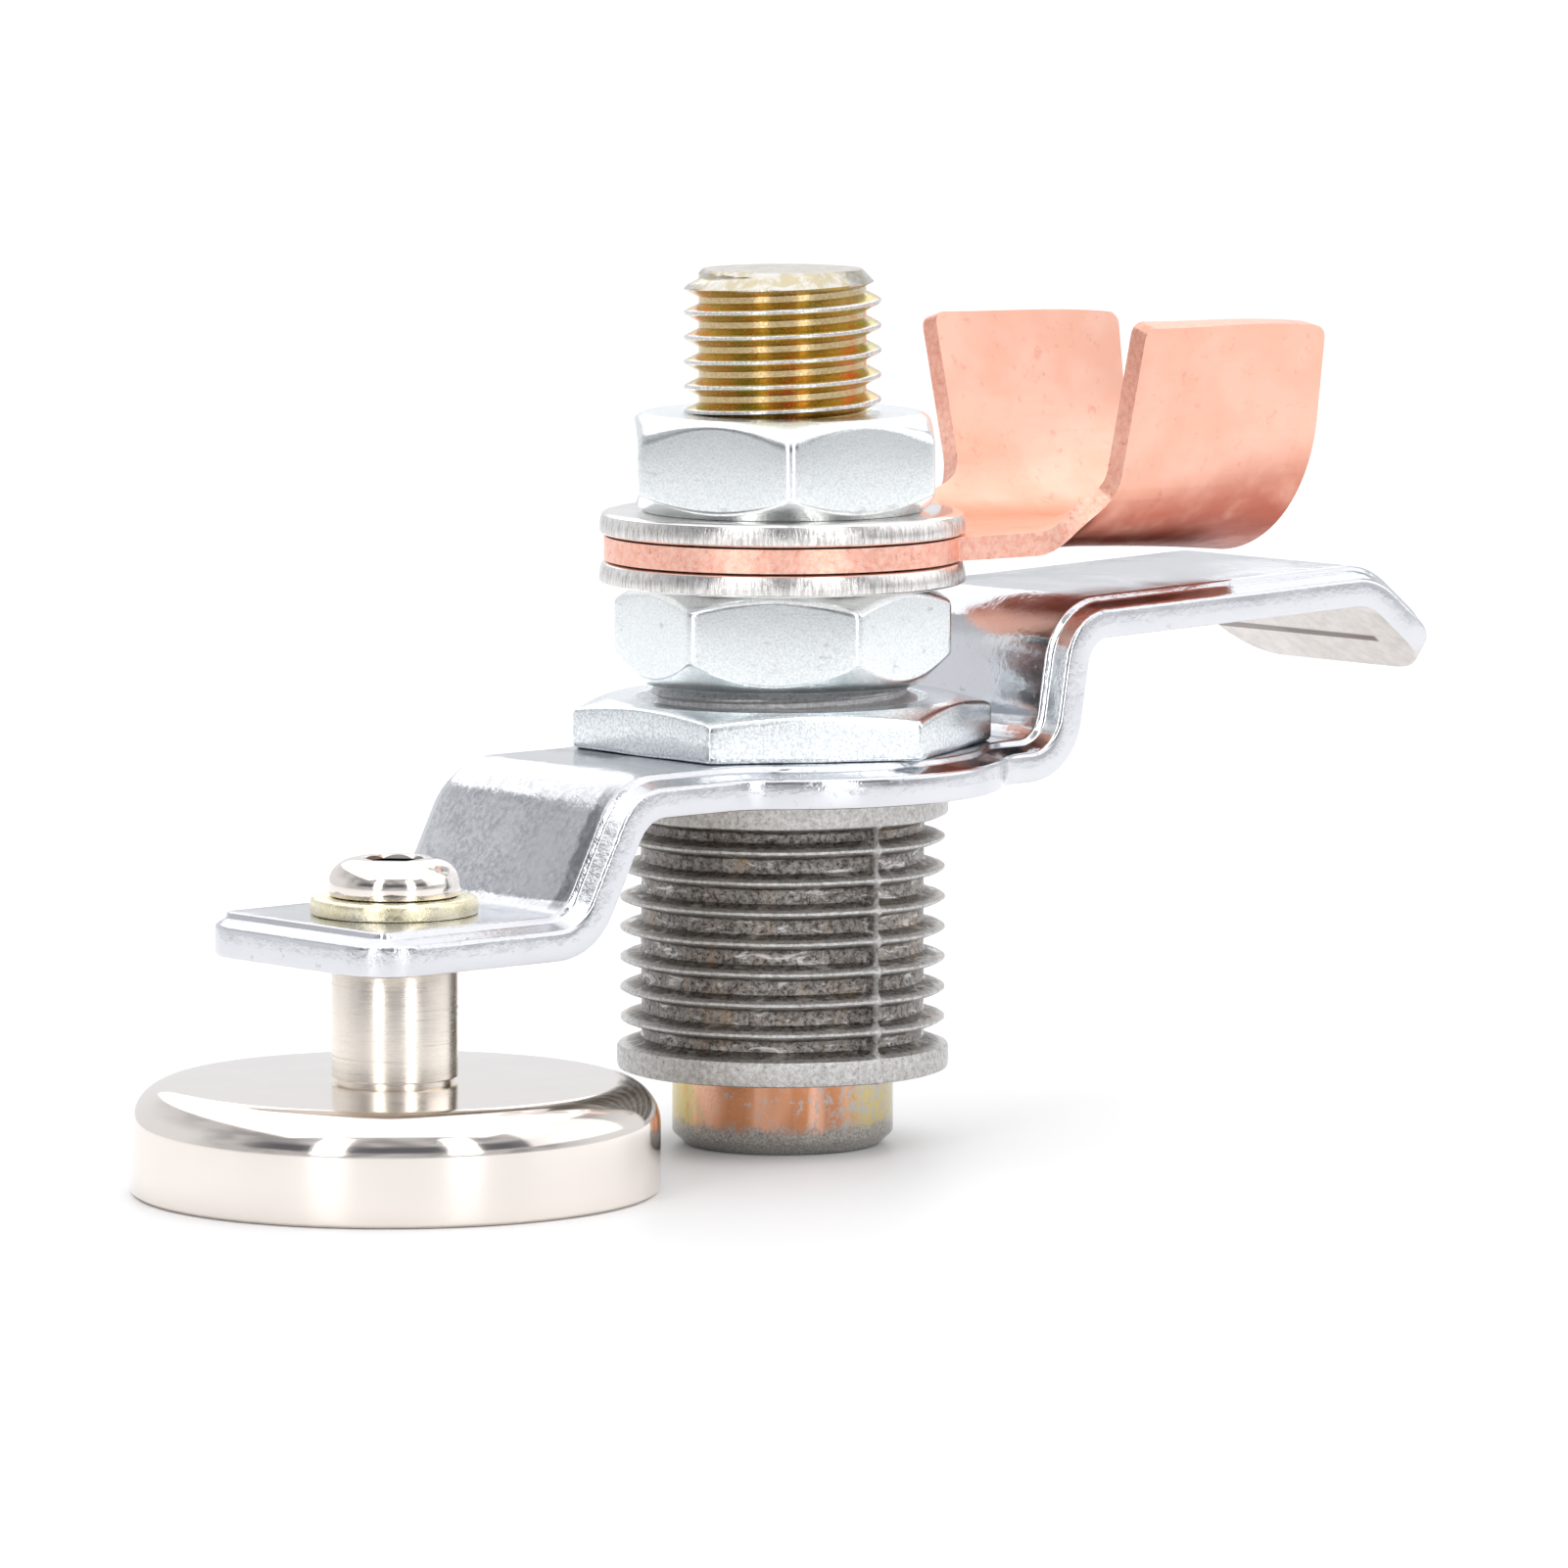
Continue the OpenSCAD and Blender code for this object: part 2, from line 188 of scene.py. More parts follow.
def thread_column(angle, r_major, depth, pitch, low, high, limit, phase=0.0):
    """The (r, z) points of a right-hand external thread from low to high at one angle.

    limit(z) gives the radius that a chamfer leaves at height z.
    """
    lead = pitch * angle / TAU + phase * pitch
    turns = ceil((high - low) / pitch) + 2
    column = []
    for turn in range(-2, turns):
        for share, height in THREAD_FORM:
            z = low + (turn + share) * pitch + lead
            r = r_major - depth * (1 - height)
            if z < low or z > high:
                z = min(max(z, low), high)
                p = ((z - low - lead) / pitch) % 1.0
                r = r_major - depth * (1 - form_height(p))
            column.append((min(r, limit(z)), z))
    return column


def form_height(p):
    """The thread form's height at share p of the pitch."""
    form = THREAD_FORM + [(1.0, 0.0)]
    i = min(bisect.bisect_right([share for share, _ in form], p) - 1, len(form) - 2)
    (low, low_height), (high, high_height) = form[i:i + 2]
    return low_height + (p - low) / (high - low) * (high_height - low_height)


def hex_angles(turn):
    """Angles round a hexagon, closer together near its corners."""
    offsets = [-30, -29.6, -29, -28.2, -27, -25, -22, -18, -13.5, -9, -4.5, 0,
               4.5, 9, 13.5, 18, 22, 25, 27, 28.2, 29, 29.6]
    return [radians(turn + 30 + 60 * k + o) for k in range(6) for o in offsets]


def hex_radius(angle, turn, flats, corner_r):
    """Radius of a hexagon with rounded corners; turn is the angle of one corner in degrees."""
    half, half_side = flats / 2, radians(30)
    off = radians(abs((degrees(angle) - turn) % 60 - 30))
    if off <= atan((half - corner_r) * tan(half_side) / half):
        return half / cos(off)
    reach = (half - corner_r) / cos(half_side)
    side = half_side - off
    return reach * cos(side) + sqrt(corner_r ** 2 - (reach * sin(side)) ** 2)


def round_edges(piece, width):
    """Rounds a sheet's sharp edges so that they catch the light."""
    mod = piece.modifiers.new("edge_round", "BEVEL")
    mod.width = width * MM
    mod.segments = 2
    mod.limit_method = "ANGLE"
    mod.angle_limit = radians(40)
    mod.harden_normals = True
    mod.miter_outer = "MITER_ARC"


def place(piece, node, body, material):
    """Makes a piece stand for a CAD node, ride on its body and wear its material."""
    piece.data.materials.append(material)
    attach(piece, body)
    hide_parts(node)


# ---- materials

class NodeTree:
    """Short calls that build a node tree. A value is a number, a colour or another node's output."""

    def __init__(self, tree):
        self.nodes, self.links = tree.nodes, tree.links

    def put(self, socket, value):
        if isinstance(value, bpy.types.NodeSocket):
            self.links.new(value, socket)
        elif isinstance(value, tuple) and len(value) == 3 and len(socket.default_value) == 4:
            socket.default_value = (*value, 1.0)
        else:
            socket.default_value = value

    def add(self, kind, inputs, **settings):
        """Adds a node, with its settings and its inputs by name or number, and gives its outputs."""
        node = self.nodes.new("ShaderNode" + kind)
        for key, value in settings.items():
            setattr(node, key, value)
        for key, value in inputs.items():
            self.put(node.inputs[key], value)
        return node.outputs

    def math(self, operation, a, b=0.0):
        return self.add("Math", {0: a, 1: b}, operation=operation)[0]

    def times(self, a, b):
        return self.math("MULTIPLY", a, b)

    def plus(self, a, b):
        return self.math("ADD", a, b)

    def between(self, value, low, high, out_low=0.0, out_high=1.0):
        """Maps low..high of a value to out_low..out_high, smoothly and clamped."""
        inputs = {"Value": value, "From Min": low, "From Max": high, "To Min": out_low, "To Max": out_high}
        return self.add("MapRange", inputs, interpolation_type="SMOOTHSTEP")["Result"]

    def mix(self, factor, a, b):
        return self.add("Mix", {"Factor": factor, 6: a, 7: b}, data_type="RGBA")[2]

    def blend(self, value, low, high, a, b, amount=1.0):
        """Colour a where the value is low, and up to the amount of colour b where it is high."""
        return self.mix(self.between(value, low, high, 0.0, amount), a, b)


class Finish(NodeTree):
    """A procedural material in object coordinates, with its sizes in millimetres."""

    def __init__(self, name, metallic=1.0, coat=0.0):
        self.mat = bpy.data.materials.new(name)
        self.mat.use_nodes = True
        super().__init__(self.mat.node_tree)
        self.shader = self.nodes["Principled BSDF"]
        self.put(self.shader.inputs["Metallic"], metallic)
        self.put(self.shader.inputs["Coat Weight"], coat)
        self.coords = self.add("TexCoord", {})["Object"]
        self.normal = None

    def stretched(self, scale, about=(0.0, 0.0, 0.0), turn=0.0):
        """Object coordinates moved, turned about Z and scaled by axis."""
        inputs = {"Vector": self.coords, "Location": [a * MM for a in about],
                  "Rotation": [0.0, 0.0, radians(turn)], "Scale": [1.0 / s for s in scale]}
        return self.add("Mapping", inputs, vector_type="TEXTURE")[0]

    def noise(self, size, detail=4.0, rough=0.55, distortion=0.0, stretch=None, turn=0.0):
        """Noise whose features are about size millimetres wide, times a stretch along each axis."""
        inputs = {"Vector": self.stretched(stretch, turn=turn) if stretch else self.coords,
                  "Scale": 1.0 / (size * MM), "Detail": detail, "Roughness": rough, "Distortion": distortion}
        return self.add("TexNoise", inputs)["Fac"]

    def radius(self, about=(0.0, 0.0)):
        """Distance from an upright axis."""
        flat = self.add("VectorMath", {0: self.stretched((1, 1, 1), (*about, 0.0)), 1: [1 / MM, 1 / MM, 0.0]},
                        operation="MULTIPLY")[0]
        return self.add("VectorMath", {0: flat}, operation="LENGTH")["Value"]

    def along(self, axis):
        """One coordinate, by the name of its axis."""
        return self.times(self.add("SeparateXYZ", {0: self.coords})[axis], 1 / MM)

    def facing_up(self):
        """The upward part of the face's direction: 1 on tops, 0 on walls, -1 underneath."""
        return self.add("SeparateXYZ", {0: self.add("NewGeometry", {})["Normal"]})["Z"]

    def upright(self):
        """How much a face is a side face: 1 on walls, 0 on flats."""
        return self.math("SUBTRACT", 1.0, self.math("ABSOLUTE", self.facing_up()))

    def bump(self, height, strength, depth):
        """Adds a bump, on top of any before it."""
        inputs = {"Strength": strength, "Distance": depth * MM, "Height": height}
        if self.normal:
            inputs["Normal"] = self.normal
        self.normal = self.add("Bump", inputs)[0]

    def done(self, color, roughness):
        self.put(self.shader.inputs["Base Color"], color)
        self.put(self.shader.inputs["Roughness"], roughness)
        if self.normal:
            self.put(self.shader.inputs["Normal"], self.normal)
        return self.mat


def bright_nickel(name="bright_nickel", turning=False, socket_shade_r=None):
    """Warm mirror nickel with faint scratches and walls painted a little darker than tops as shade; turned
    parts show fine rings, and a socket's inside is painted dark as shade.
    """
    f = Finish(name)
    scratch = f.noise(0.35, 6, 0.7, stretch=(1.0, 12.0, 3.0), turn=35)
    cloud = f.noise(9, 3)
    color = f.blend(cloud, 0.35, 0.7, (0.91, 0.85, 0.79), (0.86, 0.80, 0.745))
    rough = f.plus(f.between(scratch, 0.5, 0.8, 0.0, 0.08), f.between(cloud, 0.3, 0.7, 0.07, 0.12))
    # painted shade: walls take the darker nickel tone, tops keep the lighter, cloudy one
    color = f.mix(f.times(f.upright(), 0.9), color, (0.86, 0.80, 0.745))
    if turning:
        rings = f.noise(0.22, 4, 0.8, stretch=(0.02, 0.02, 1.0))
        color = f.blend(rings, 0.58, 0.7, (0.93, 0.86, 0.77), (0.60, 0.54, 0.47))
        rough = f.plus(rough, f.between(rings, 0.4, 0.75, 0.16, 0.26))
        f.bump(rings, 0.35, 0.012)
    # painted shade: the inside of the screw's socket is painted dark
    if socket_shade_r:
        color = f.blend(f.radius(MAGNET_AXIS), socket_shade_r, socket_shade_r - 0.1, color, (0.20, 0.19, 0.18))
    f.bump(scratch, 0.1, 0.01)
    f.bump(f.noise(4, 2), 0.12, 0.04)
    return f.done(color, rough)


def bright_chrome():
    """Bluish chrome over stamped steel, with orange peel, small pits and torn sheared walls; the tops
    are painted darker as shade.

    The rise from the magnet to the sleeve is dimpled, with painted shading from light on its far side
    to darker on its near side, and a painted dark shade band at its near edge. The underside is dull,
    and painted darker as shade, with one crease across the lip whose dark line is painted shade.
    """
    f = Finish("arm_chrome")
    x, y, up = f.along("X"), f.along("Y"), f.facing_up()
    patch = f.between(f.noise(11, 2, distortion=0.6), 0.40, 0.60, 0.25, 1.0)
    peel = f.noise(0.7, 3, 0.6)
    ripple = f.noise(5.5, 2)
    grime = f.between(f.noise(0.9, 5, 0.72), 0.61, 0.72)
    wall = f.between(f.upright(), 0.93, 0.99)
    torn = f.noise(0.8, 5, 0.75, 0.6, stretch=(0.6, 0.6, 1.3))
    torn = f.times(f.between(torn, 0.50, 0.68), wall)
    color = f.mix(f.times(grime, 0.7), (0.71, 0.72, 0.75), (0.36, 0.37, 0.39))
    color = f.mix(f.times(torn, 0.4), color, (0.54, 0.56, 0.59))
    # painted shade: tops are painted a darker chrome
    color = f.blend(up, 0.55, 0.95, color, (0.59, 0.60, 0.63))
    riser = f.times(f.between(up, 0.93, 0.75), f.between(x, -23.5, -25.5))
    riser = f.times(riser, f.between(f.math("ABSOLUTE", y), 10.2, 9.6))
    riser = f.times(riser, f.between(x, -37.0, -35.0))
    # painted shading: the rise is lighter on its far side and darker on its near side
    tone = f.blend(y, 6.0, -8.0, (0.84, 0.85, 0.88), (0.66, 0.67, 0.70))
    # painted shade: a dark wavy band along the rise's near edge
    shade_band_y = f.plus(y, f.times(f.noise(1.2, 4, 0.6), 1.6))
    tone = f.blend(shade_band_y, -7.3, -7.9, tone, (0.12, 0.125, 0.14), 0.75)
    dimple = f.between(f.noise(0.5, 5, 0.72), 0.36, 0.64)
    dimple = f.times(dimple, f.between(f.noise(4, 3), 0.35, 0.6, 0.3, 0.8))
    tone = f.mix(dimple, tone, (0.47, 0.475, 0.50))
    color = f.mix(riser, color, tone)
    # painted shade: downward faces get a darker dull colour, and more roughness
    under = f.between(up, -0.25, -0.6)
    dull = f.blend(f.noise(1.2, 5, 0.65), 0.35, 0.65, (0.70, 0.655, 0.62), (0.60, 0.565, 0.54))
    # a crease across the lip: a groove in the bump, with a dark line painted over it as shade
    from_crease = f.math("ABSOLUTE", f.math("SUBTRACT", x, 59.7))
    crease_and_shade = f.times(f.between(from_crease, 0.42, 0.20), f.between(y, -8.4, -7.9))
    dull = f.mix(crease_and_shade, dull, (0.20, 0.165, 0.15))
    color = f.mix(under, color, dull)
    rough = f.plus(f.between(patch, 0.25, 1.0, 0.12, 0.22), f.times(torn, 0.18))
    rough = f.plus(rough, f.times(under, 0.16))
    f.bump(ripple, 0.3, 0.15)
    f.bump(f.times(peel, patch), 0.7, 0.10)
    f.bump(f.noise(0.22, 2), 0.12, 0.02)
    f.bump(torn, 0.35, -0.05)
    f.bump(grime, 0.3, -0.04)
    f.bump(f.times(crease_and_shade, under), 0.6, -0.2)
    return f.done(color, rough)


def clear_zinc(name, grain, pit):
    """Pale blue-grey zinc with a speckle, drawn lines and faint dark smears."""
    f = Finish(name)
    speckle = f.noise(grain, 3, 0.7)
    smear = f.noise(1.6, 4, 0.6, stretch=(1.0, 1.0, 2.2))
    drawn = f.noise(0.5, 4, 0.7, stretch=(1.0, 1.0, 5.0))
    color = f.blend(speckle, 0.4, 0.65, (0.91, 0.945, 0.95), pit)
    color = f.blend(drawn, 0.5, 0.75, color, (0.66, 0.69, 0.70), 0.4)
    color = f.blend(smear, 0.6, 0.78, color, (0.56, 0.59, 0.61))
    rough = f.plus(f.between(speckle, 0.3, 0.7, 0.16, 0.27), f.between(smear, 0.55, 0.8, 0.0, 0.1))
    f.bump(speckle, 0.4, 0.025)
    f.bump(f.noise(0.9, 3), 0.2, 0.03)
    f.bump(drawn, 0.1, 0.02)
    return f.done(color, rough)


def yellow_chromate():
    """Iridescent yellow zinc: silver crests, gold flanks, and a patchy foot worn at its edge, with amber
    streaks down the foot as painted reflections.
    """
    f = Finish("stud_yellow_zinc")
    r, z = f.radius(), f.along("Z")
    hue = f.noise(2.4, 4, 0.6, 0.8)
    film = f.noise(2.6, 2, 0.5, 0.3, stretch=(1.0, 1.0, 0.3))
    blot = f.noise(1.2, 5, 0.65, 0.5)
    fine = f.noise(0.22, 3, 0.75)
    flank = f.blend(film, 0.36, 0.50, (0.47, 0.40, 0.09), (0.62, 0.42, 0.10))
    flank = f.blend(film, 0.54, 0.64, flank, (0.80, 0.28, 0.08))
    flank = f.blend(hue, 0.56, 0.66, flank, (0.42, 0.50, 0.12), 0.6)
    root = f.blend(fine, 0.35, 0.7, (0.68, 0.54, 0.30), (0.52, 0.37, 0.18))
    silver = f.blend(fine, 0.35, 0.65, (0.82, 0.80, 0.78), (0.52, 0.50, 0.47))
    thread = f.blend(r, 6.86, 6.98, root, flank)
    crest = f.between(f.plus(r, f.times(fine, 0.3)), 7.82, 8.02)
    thread = f.mix(crest, thread, silver)
    # the foot's colours are laid out across the camera's view: amber in the middle, gold towards its sides
    # and greyer to the right
    across = f.math("SUBTRACT", f.times(f.along("X"), 0.75), f.times(f.along("Y"), 0.66))
    # painted reflections: light and dark amber streaks down the foot stand for reflected strips
    band = f.noise(3.2, 2, 0.5, 0.2, stretch=(1.0, 1.0, 0.12))
    fleck = f.noise(0.8, 6, 0.75, 0.2, stretch=(1.0, 1.0, 0.8))
    amber = f.blend(band, 0.40, 0.58, (0.62, 0.27, 0.13), (0.98, 0.57, 0.41))
    amber = f.blend(fine, 0.45, 0.7, amber, (0.74, 0.36, 0.20), 0.5)
    gold = f.plus(f.math("ABSOLUTE", f.plus(across, 0.8)), f.times(fleck, 6.0))
    foot = f.blend(gold, 8.2, 10.6, amber, (0.66, 0.54, 0.22))
    fleck = f.plus(fleck, f.between(across, -3.0, 7.0, -0.04, 0.08))
    foot = f.blend(fleck, 0.53, 0.63, foot, (0.52, 0.50, 0.49), 0.85)
    edge = f.plus(z, f.times(blot, 2.4))
    worn = f.blend(fine, 0.3, 0.7, (0.56, 0.54, 0.51), (0.27, 0.255, 0.24))
    foot = f.blend(edge, 2.9, 3.9, worn, foot)
    color = f.blend(z, 14.0, 15.0, foot, thread)
    top = f.blend(blot, 0.40, 0.60, (0.62, 0.60, 0.56), (0.52, 0.46, 0.32))
    color = f.blend(z, 69.5, 69.9, color, top)
    rough = f.between(fine, 0.3, 0.7, 0.14, 0.28)
    f.bump(fine, 0.45, 0.03)
    f.bump(blot, 0.4, 0.05)
    return f.done(color, rough)


def sheared_nickel():
    """Nickel washers: satin faces and torn, streaked edges."""
    f = Finish("washer_nickel")
    streak = f.noise(0.24, 4, 0.75, stretch=(1.0, 1.0, 0.12))
    cloud = f.noise(3, 3)
    wall = f.between(f.upright(), 0.5, 0.85)
    color = f.blend(cloud, 0.3, 0.7, (0.90, 0.87, 0.85), (0.80, 0.77, 0.75))
    torn = f.blend(streak, 0.36, 0.60, (0.42, 0.40, 0.385), (0.86, 0.84, 0.81))
    color = f.mix(f.times(wall, 0.85), color, torn)
    rough = f.plus(f.between(cloud, 0.3, 0.7, 0.10, 0.18), f.times(wall, 0.12))
    f.bump(f.times(streak, wall), 0.6, 0.06)
    f.bump(f.noise(0.5, 3), 0.12, 0.02)
    return f.done(color, rough)


def pale_yellow_zinc():
    """The screw's washer: pale yellow zinc with a tumbled texture and painted highlights on it."""
    f = Finish("screw_washer_yellow")
    tumble_and_glints = f.noise(0.4, 5, 0.65)
    tone = f.noise(2.2, 3)
    color = f.blend(tone, 0.35, 0.65, (0.97, 0.905, 0.69), (0.89, 0.81, 0.56))
    # painted highlights: near-white flecks on the tumbled texture
    color = f.blend(tumble_and_glints, 0.56, 0.7, color, (1.0, 0.98, 0.88))
    f.bump(tumble_and_glints, 0.7, 0.06)
    return f.done(color, f.between(tumble_and_glints, 0.3, 0.7, 0.20, 0.36))


def die_casting():
    """Rough grey casting, painted dark between its fins as shade, with brown stains and pale smears there,
    the smears partly painted glints, and lighter at the fins' outer edges.
    """
    f = Finish("sleeve_casting", metallic=0.9)
    r, z = f.radius(), f.along("Z")
    grain = f.noise(0.42, 5, 0.8)
    lump = f.noise(1.1, 5, 0.7, 0.4)
    smear = f.noise(1.5, 5, 0.7, 0.5, stretch=(0.6, 0.6, 2.0))
    stain = f.between(f.noise(2.4, 4, 0.65, 0.5, stretch=(1.0, 1.0, 0.5)), 0.55, 0.70)
    # painted shade: the grooves between the fins are painted dark, with a grain
    groove_shade_and_stain = f.blend(grain, 0.36, 0.64, (0.085, 0.074, 0.065), (0.46, 0.43, 0.405))
    # pale smears in the grooves: partly casting smears, partly painted glints
    groove_shade_and_stain = f.blend(smear, 0.53, 0.65, groove_shade_and_stain, (0.78, 0.76, 0.74))
    groove_shade_and_stain = f.mix(f.times(stain, 0.55), groove_shade_and_stain, (0.50, 0.37, 0.25))
    rim = f.blend(grain, 0.3, 0.7, (0.38, 0.37, 0.36), (0.78, 0.77, 0.75))
    color = f.blend(r, 12.45, 12.95, groove_shade_and_stain, rim)
    neck = f.blend(grain, 0.35, 0.7, (0.74, 0.73, 0.73), (0.42, 0.41, 0.41))
    color = f.blend(z, 29.4, 29.8, color, neck)
    rough = f.between(grain, 0.25, 0.75, 0.24, 0.44)
    f.bump(lump, 0.7, 0.18)
    f.bump(grain, 1.0, 0.10)
    return f.done(color, rough)


def worked_copper(turn):
    """Satin copper sheet with rolling lines, scuffs and small dark spots, and painted shade under the wings'
    outer bends.
    """
    f = Finish("lug_copper")
    lines = f.noise(0.5, 5, 0.7, stretch=(0.10, 1.0, 1.0), turn=turn)
    scuff = f.noise(1.0, 5, 0.72, 0.4, stretch=(1.0, 0.6, 1.0), turn=turn)
    cloud = f.noise(5, 3)
    color = f.blend(cloud, 0.35, 0.65, (0.97, 0.58, 0.455), (0.95, 0.52, 0.39))
    color = f.blend(scuff, 0.57, 0.72, color, (0.84, 0.36, 0.25), 0.6)
    color = f.blend(f.noise(1.8, 6, 0.7), 0.64, 0.72, color, (0.74, 0.36, 0.24), 0.6)
    # painted shade: downward faces out on the wings' bends are painted dark red-brown
    under = f.times(f.between(f.facing_up(), -0.12, -0.75), f.between(f.noise(4, 2), 0.3, 0.6, 0.6, 0.95))
    color = f.mix(f.times(under, f.between(f.radius(), 19.0, 24.0)), color, (0.48, 0.12, 0.07))
    rough = f.plus(f.between(lines, 0.3, 0.7, 0.34, 0.42), f.between(scuff, 0.5, 0.75, 0.0, 0.1))
    f.bump(lines, 0.10, 0.02)
    f.bump(scuff, 0.15, 0.03)
    f.bump(f.noise(0.25, 3), 0.12, 0.015)
    return f.done(color, rough)


def sheared_copper():
    """The lug's cut edges: grainy, with torn darker patches; upward-facing edges are painted darker as shade,
    and the edges turn darker towards the tops of the wings.
    """
    f = Finish("lug_copper_edge")
    wing = f.between(f.along("Z"), 56.0, 60.0)
    grain = f.noise(0.6, 5, 0.72)
    tear = f.noise(1.3, 5, 0.75, 0.4)
    color = f.blend(grain, 0.38, 0.62, (0.94, 0.46, 0.35), (1.0, 0.62, 0.50))
    color = f.blend(tear, 0.58, 0.70, color, (0.60, 0.22, 0.14), 0.7)
    # painted shade: upward-facing cut edges are painted darker
    color = f.blend(f.facing_up(), 0.5, 0.9, color, (0.62, 0.24, 0.16), 0.7)
    # the edges turn darker towards the tops of the wings
    high_wing_edge_tone = f.blend(grain, 0.4, 0.6, (0.76, 0.33, 0.235), (0.88, 0.45, 0.345))
    color = f.mix(f.times(wing, 0.75), color, high_wing_edge_tone)
    f.bump(grain, 0.5, 0.05)
    f.bump(tear, 0.5, 0.08)
    return f.done(color, f.between(grain, 0.3, 0.7, 0.26, 0.40))


def spring_steel():
    """Dark drawn wire with an oily sheen."""
    f = Finish("spring_steel", coat=0.4)
    drawn = f.noise(0.3, 4, 0.6)
    color = f.blend(drawn, 0.35, 0.7, (0.33, 0.335, 0.35), (0.20, 0.20, 0.21))
    f.bump(drawn, 0.2, 0.02)
    return f.done(color, f.between(drawn, 0.3, 0.7, 0.25, 0.38))


def ground_magnet():
    """Ground sintered magnet: dark, with fine parallel grinding lines."""
    f = Finish("ground_magnet", metallic=0.55)
    lines = f.noise(0.18, 4, 0.7, stretch=(0.05, 1.0, 1.0), turn=20)
    grit = f.noise(0.4, 5, 0.7)
    color = f.blend(lines, 0.35, 0.65, (0.085, 0.085, 0.09), (0.17, 0.17, 0.175))
    color = f.blend(grit, 0.66, 0.74, color, (0.04, 0.04, 0.045))
    f.bump(lines, 0.3, 0.02)
    f.bump(grit, 0.3, 0.04)
    return f.done(color, f.between(grit, 0.3, 0.7, 0.36, 0.55))


def faced_brass():
    """Brass spacer with circular facing marks."""
    f = Finish("faced_brass")
    rings = f.noise(0.3, 3, 0.6)
    dull = f.noise(4, 3)
    color = f.blend(dull, 0.35, 0.65, (0.74, 0.57, 0.27), (0.58, 0.44, 0.21))
    f.bump(rings, 0.25, 0.02)
    return f.done(color, f.between(rings, 0.3, 0.7, 0.24, 0.4))


def cast_epoxy():
    """Black potting with a slightly sunk, uneven skin."""
    f = Finish("potting_epoxy", metallic=0.0, coat=0.2)
    skin = f.noise(1.6, 3)
    pores = f.add("TexVoronoi", {"Vector": f.coords, "Scale": 1.0 / (0.9 * MM)})["Distance"]
    pores = f.between(pores, 0.0, 0.16, 1.0, 0.0)
    color = f.blend(skin, 0.35, 0.65, (0.022, 0.022, 0.024), (0.040, 0.039, 0.040))
    f.bump(skin, 0.5, 0.1)
    f.bump(pores, -0.3, 0.05)
    return f.done(color, f.between(skin, 0.3, 0.7, 0.35, 0.5))


# ---- magnet

def make_magnet(nickel, turned_nickel):
    """Cup with its ring magnet, spacer and potting, and the post riveted into it."""
    top = span("magnet_cup")[1].z
    cup_r, ring_r, pocket_r, rivet_r = (
        span_radius(node) for node in ("magnet_cup", "magnet_ring", "magnet_gap_ring", "magnet_post"))
    hole_r, shoulder_r, bore_r = 3.5, 3.4, 6.5
    low, high = span("magnet_ring")
    outline = [(pocket_r, high.z), (pocket_r, 0.15), (pocket_r + 0.15, 0.0), (cup_r - 0.7, 0.0),
               (cup_r - 0.35, 0.06), (cup_r - 0.1, 0.28), (cup_r, 0.65)]
    outline += arc_points(cup_r - shoulder_r, top - shoulder_r, shoulder_r, 0, 90, 12)
    outline += [(hole_r + 1.9, top), (hole_r + 0.15, top), (hole_r, top - 0.15), (hole_r, high.z)]
    turned("magnet_cup", "shell", FRAME, nickel, outline, 216, MAGNET_AXIS)

    outline = soft_ring(bore_r, ring_r, low.z, high.z, 0.25)
    turned("magnet_ring", "body", FRAME, ground_magnet(), outline, 120, MAGNET_AXIS)
    outline = soft_ring(ring_r, pocket_r, low.z, high.z, 0.15)
    turned("magnet_gap_ring", "body", FRAME, faced_brass(), outline, 120, MAGNET_AXIS)

    pocket_z = high.z
    low, high = span("magnet_potting")
    sunk = 0.35
    outline = [(bore_r * k / 8, low.z + sunk * (1 - (k / 8) ** 4)) for k in range(9)]
    outline += [(bore_r, high.z), (0.0, high.z)]
    turned("magnet_potting", "plug", FRAME, cast_epoxy(), outline, 96, MAGNET_AXIS)

    low, high = span("magnet_post")
    post_r, bore, floor = 5.0, 2.6, 11.0
    outline = soften([
        (0.0, low.z), (rivet_r, low.z, 0.3), (rivet_r, pocket_z), (hole_r, pocket_z), (hole_r, top),
        (post_r - 0.5, top), (post_r - 0.5, top + 0.25), (post_r - 0.06, top + 0.3), (post_r, top + 0.4),
        (post_r, high.z - 0.55), (post_r - 0.08, high.z - 0.36), (post_r - 0.42, high.z - 0.06),
        (post_r - 0.55, high.z), (bore + 0.6, high.z), (bore, high.z - 0.6), (bore, floor),
        (0.0, floor - 1.0)], 0)
    turned("magnet_post", "turned", FRAME, turned_nickel, outline, 128, MAGNET_AXIS)


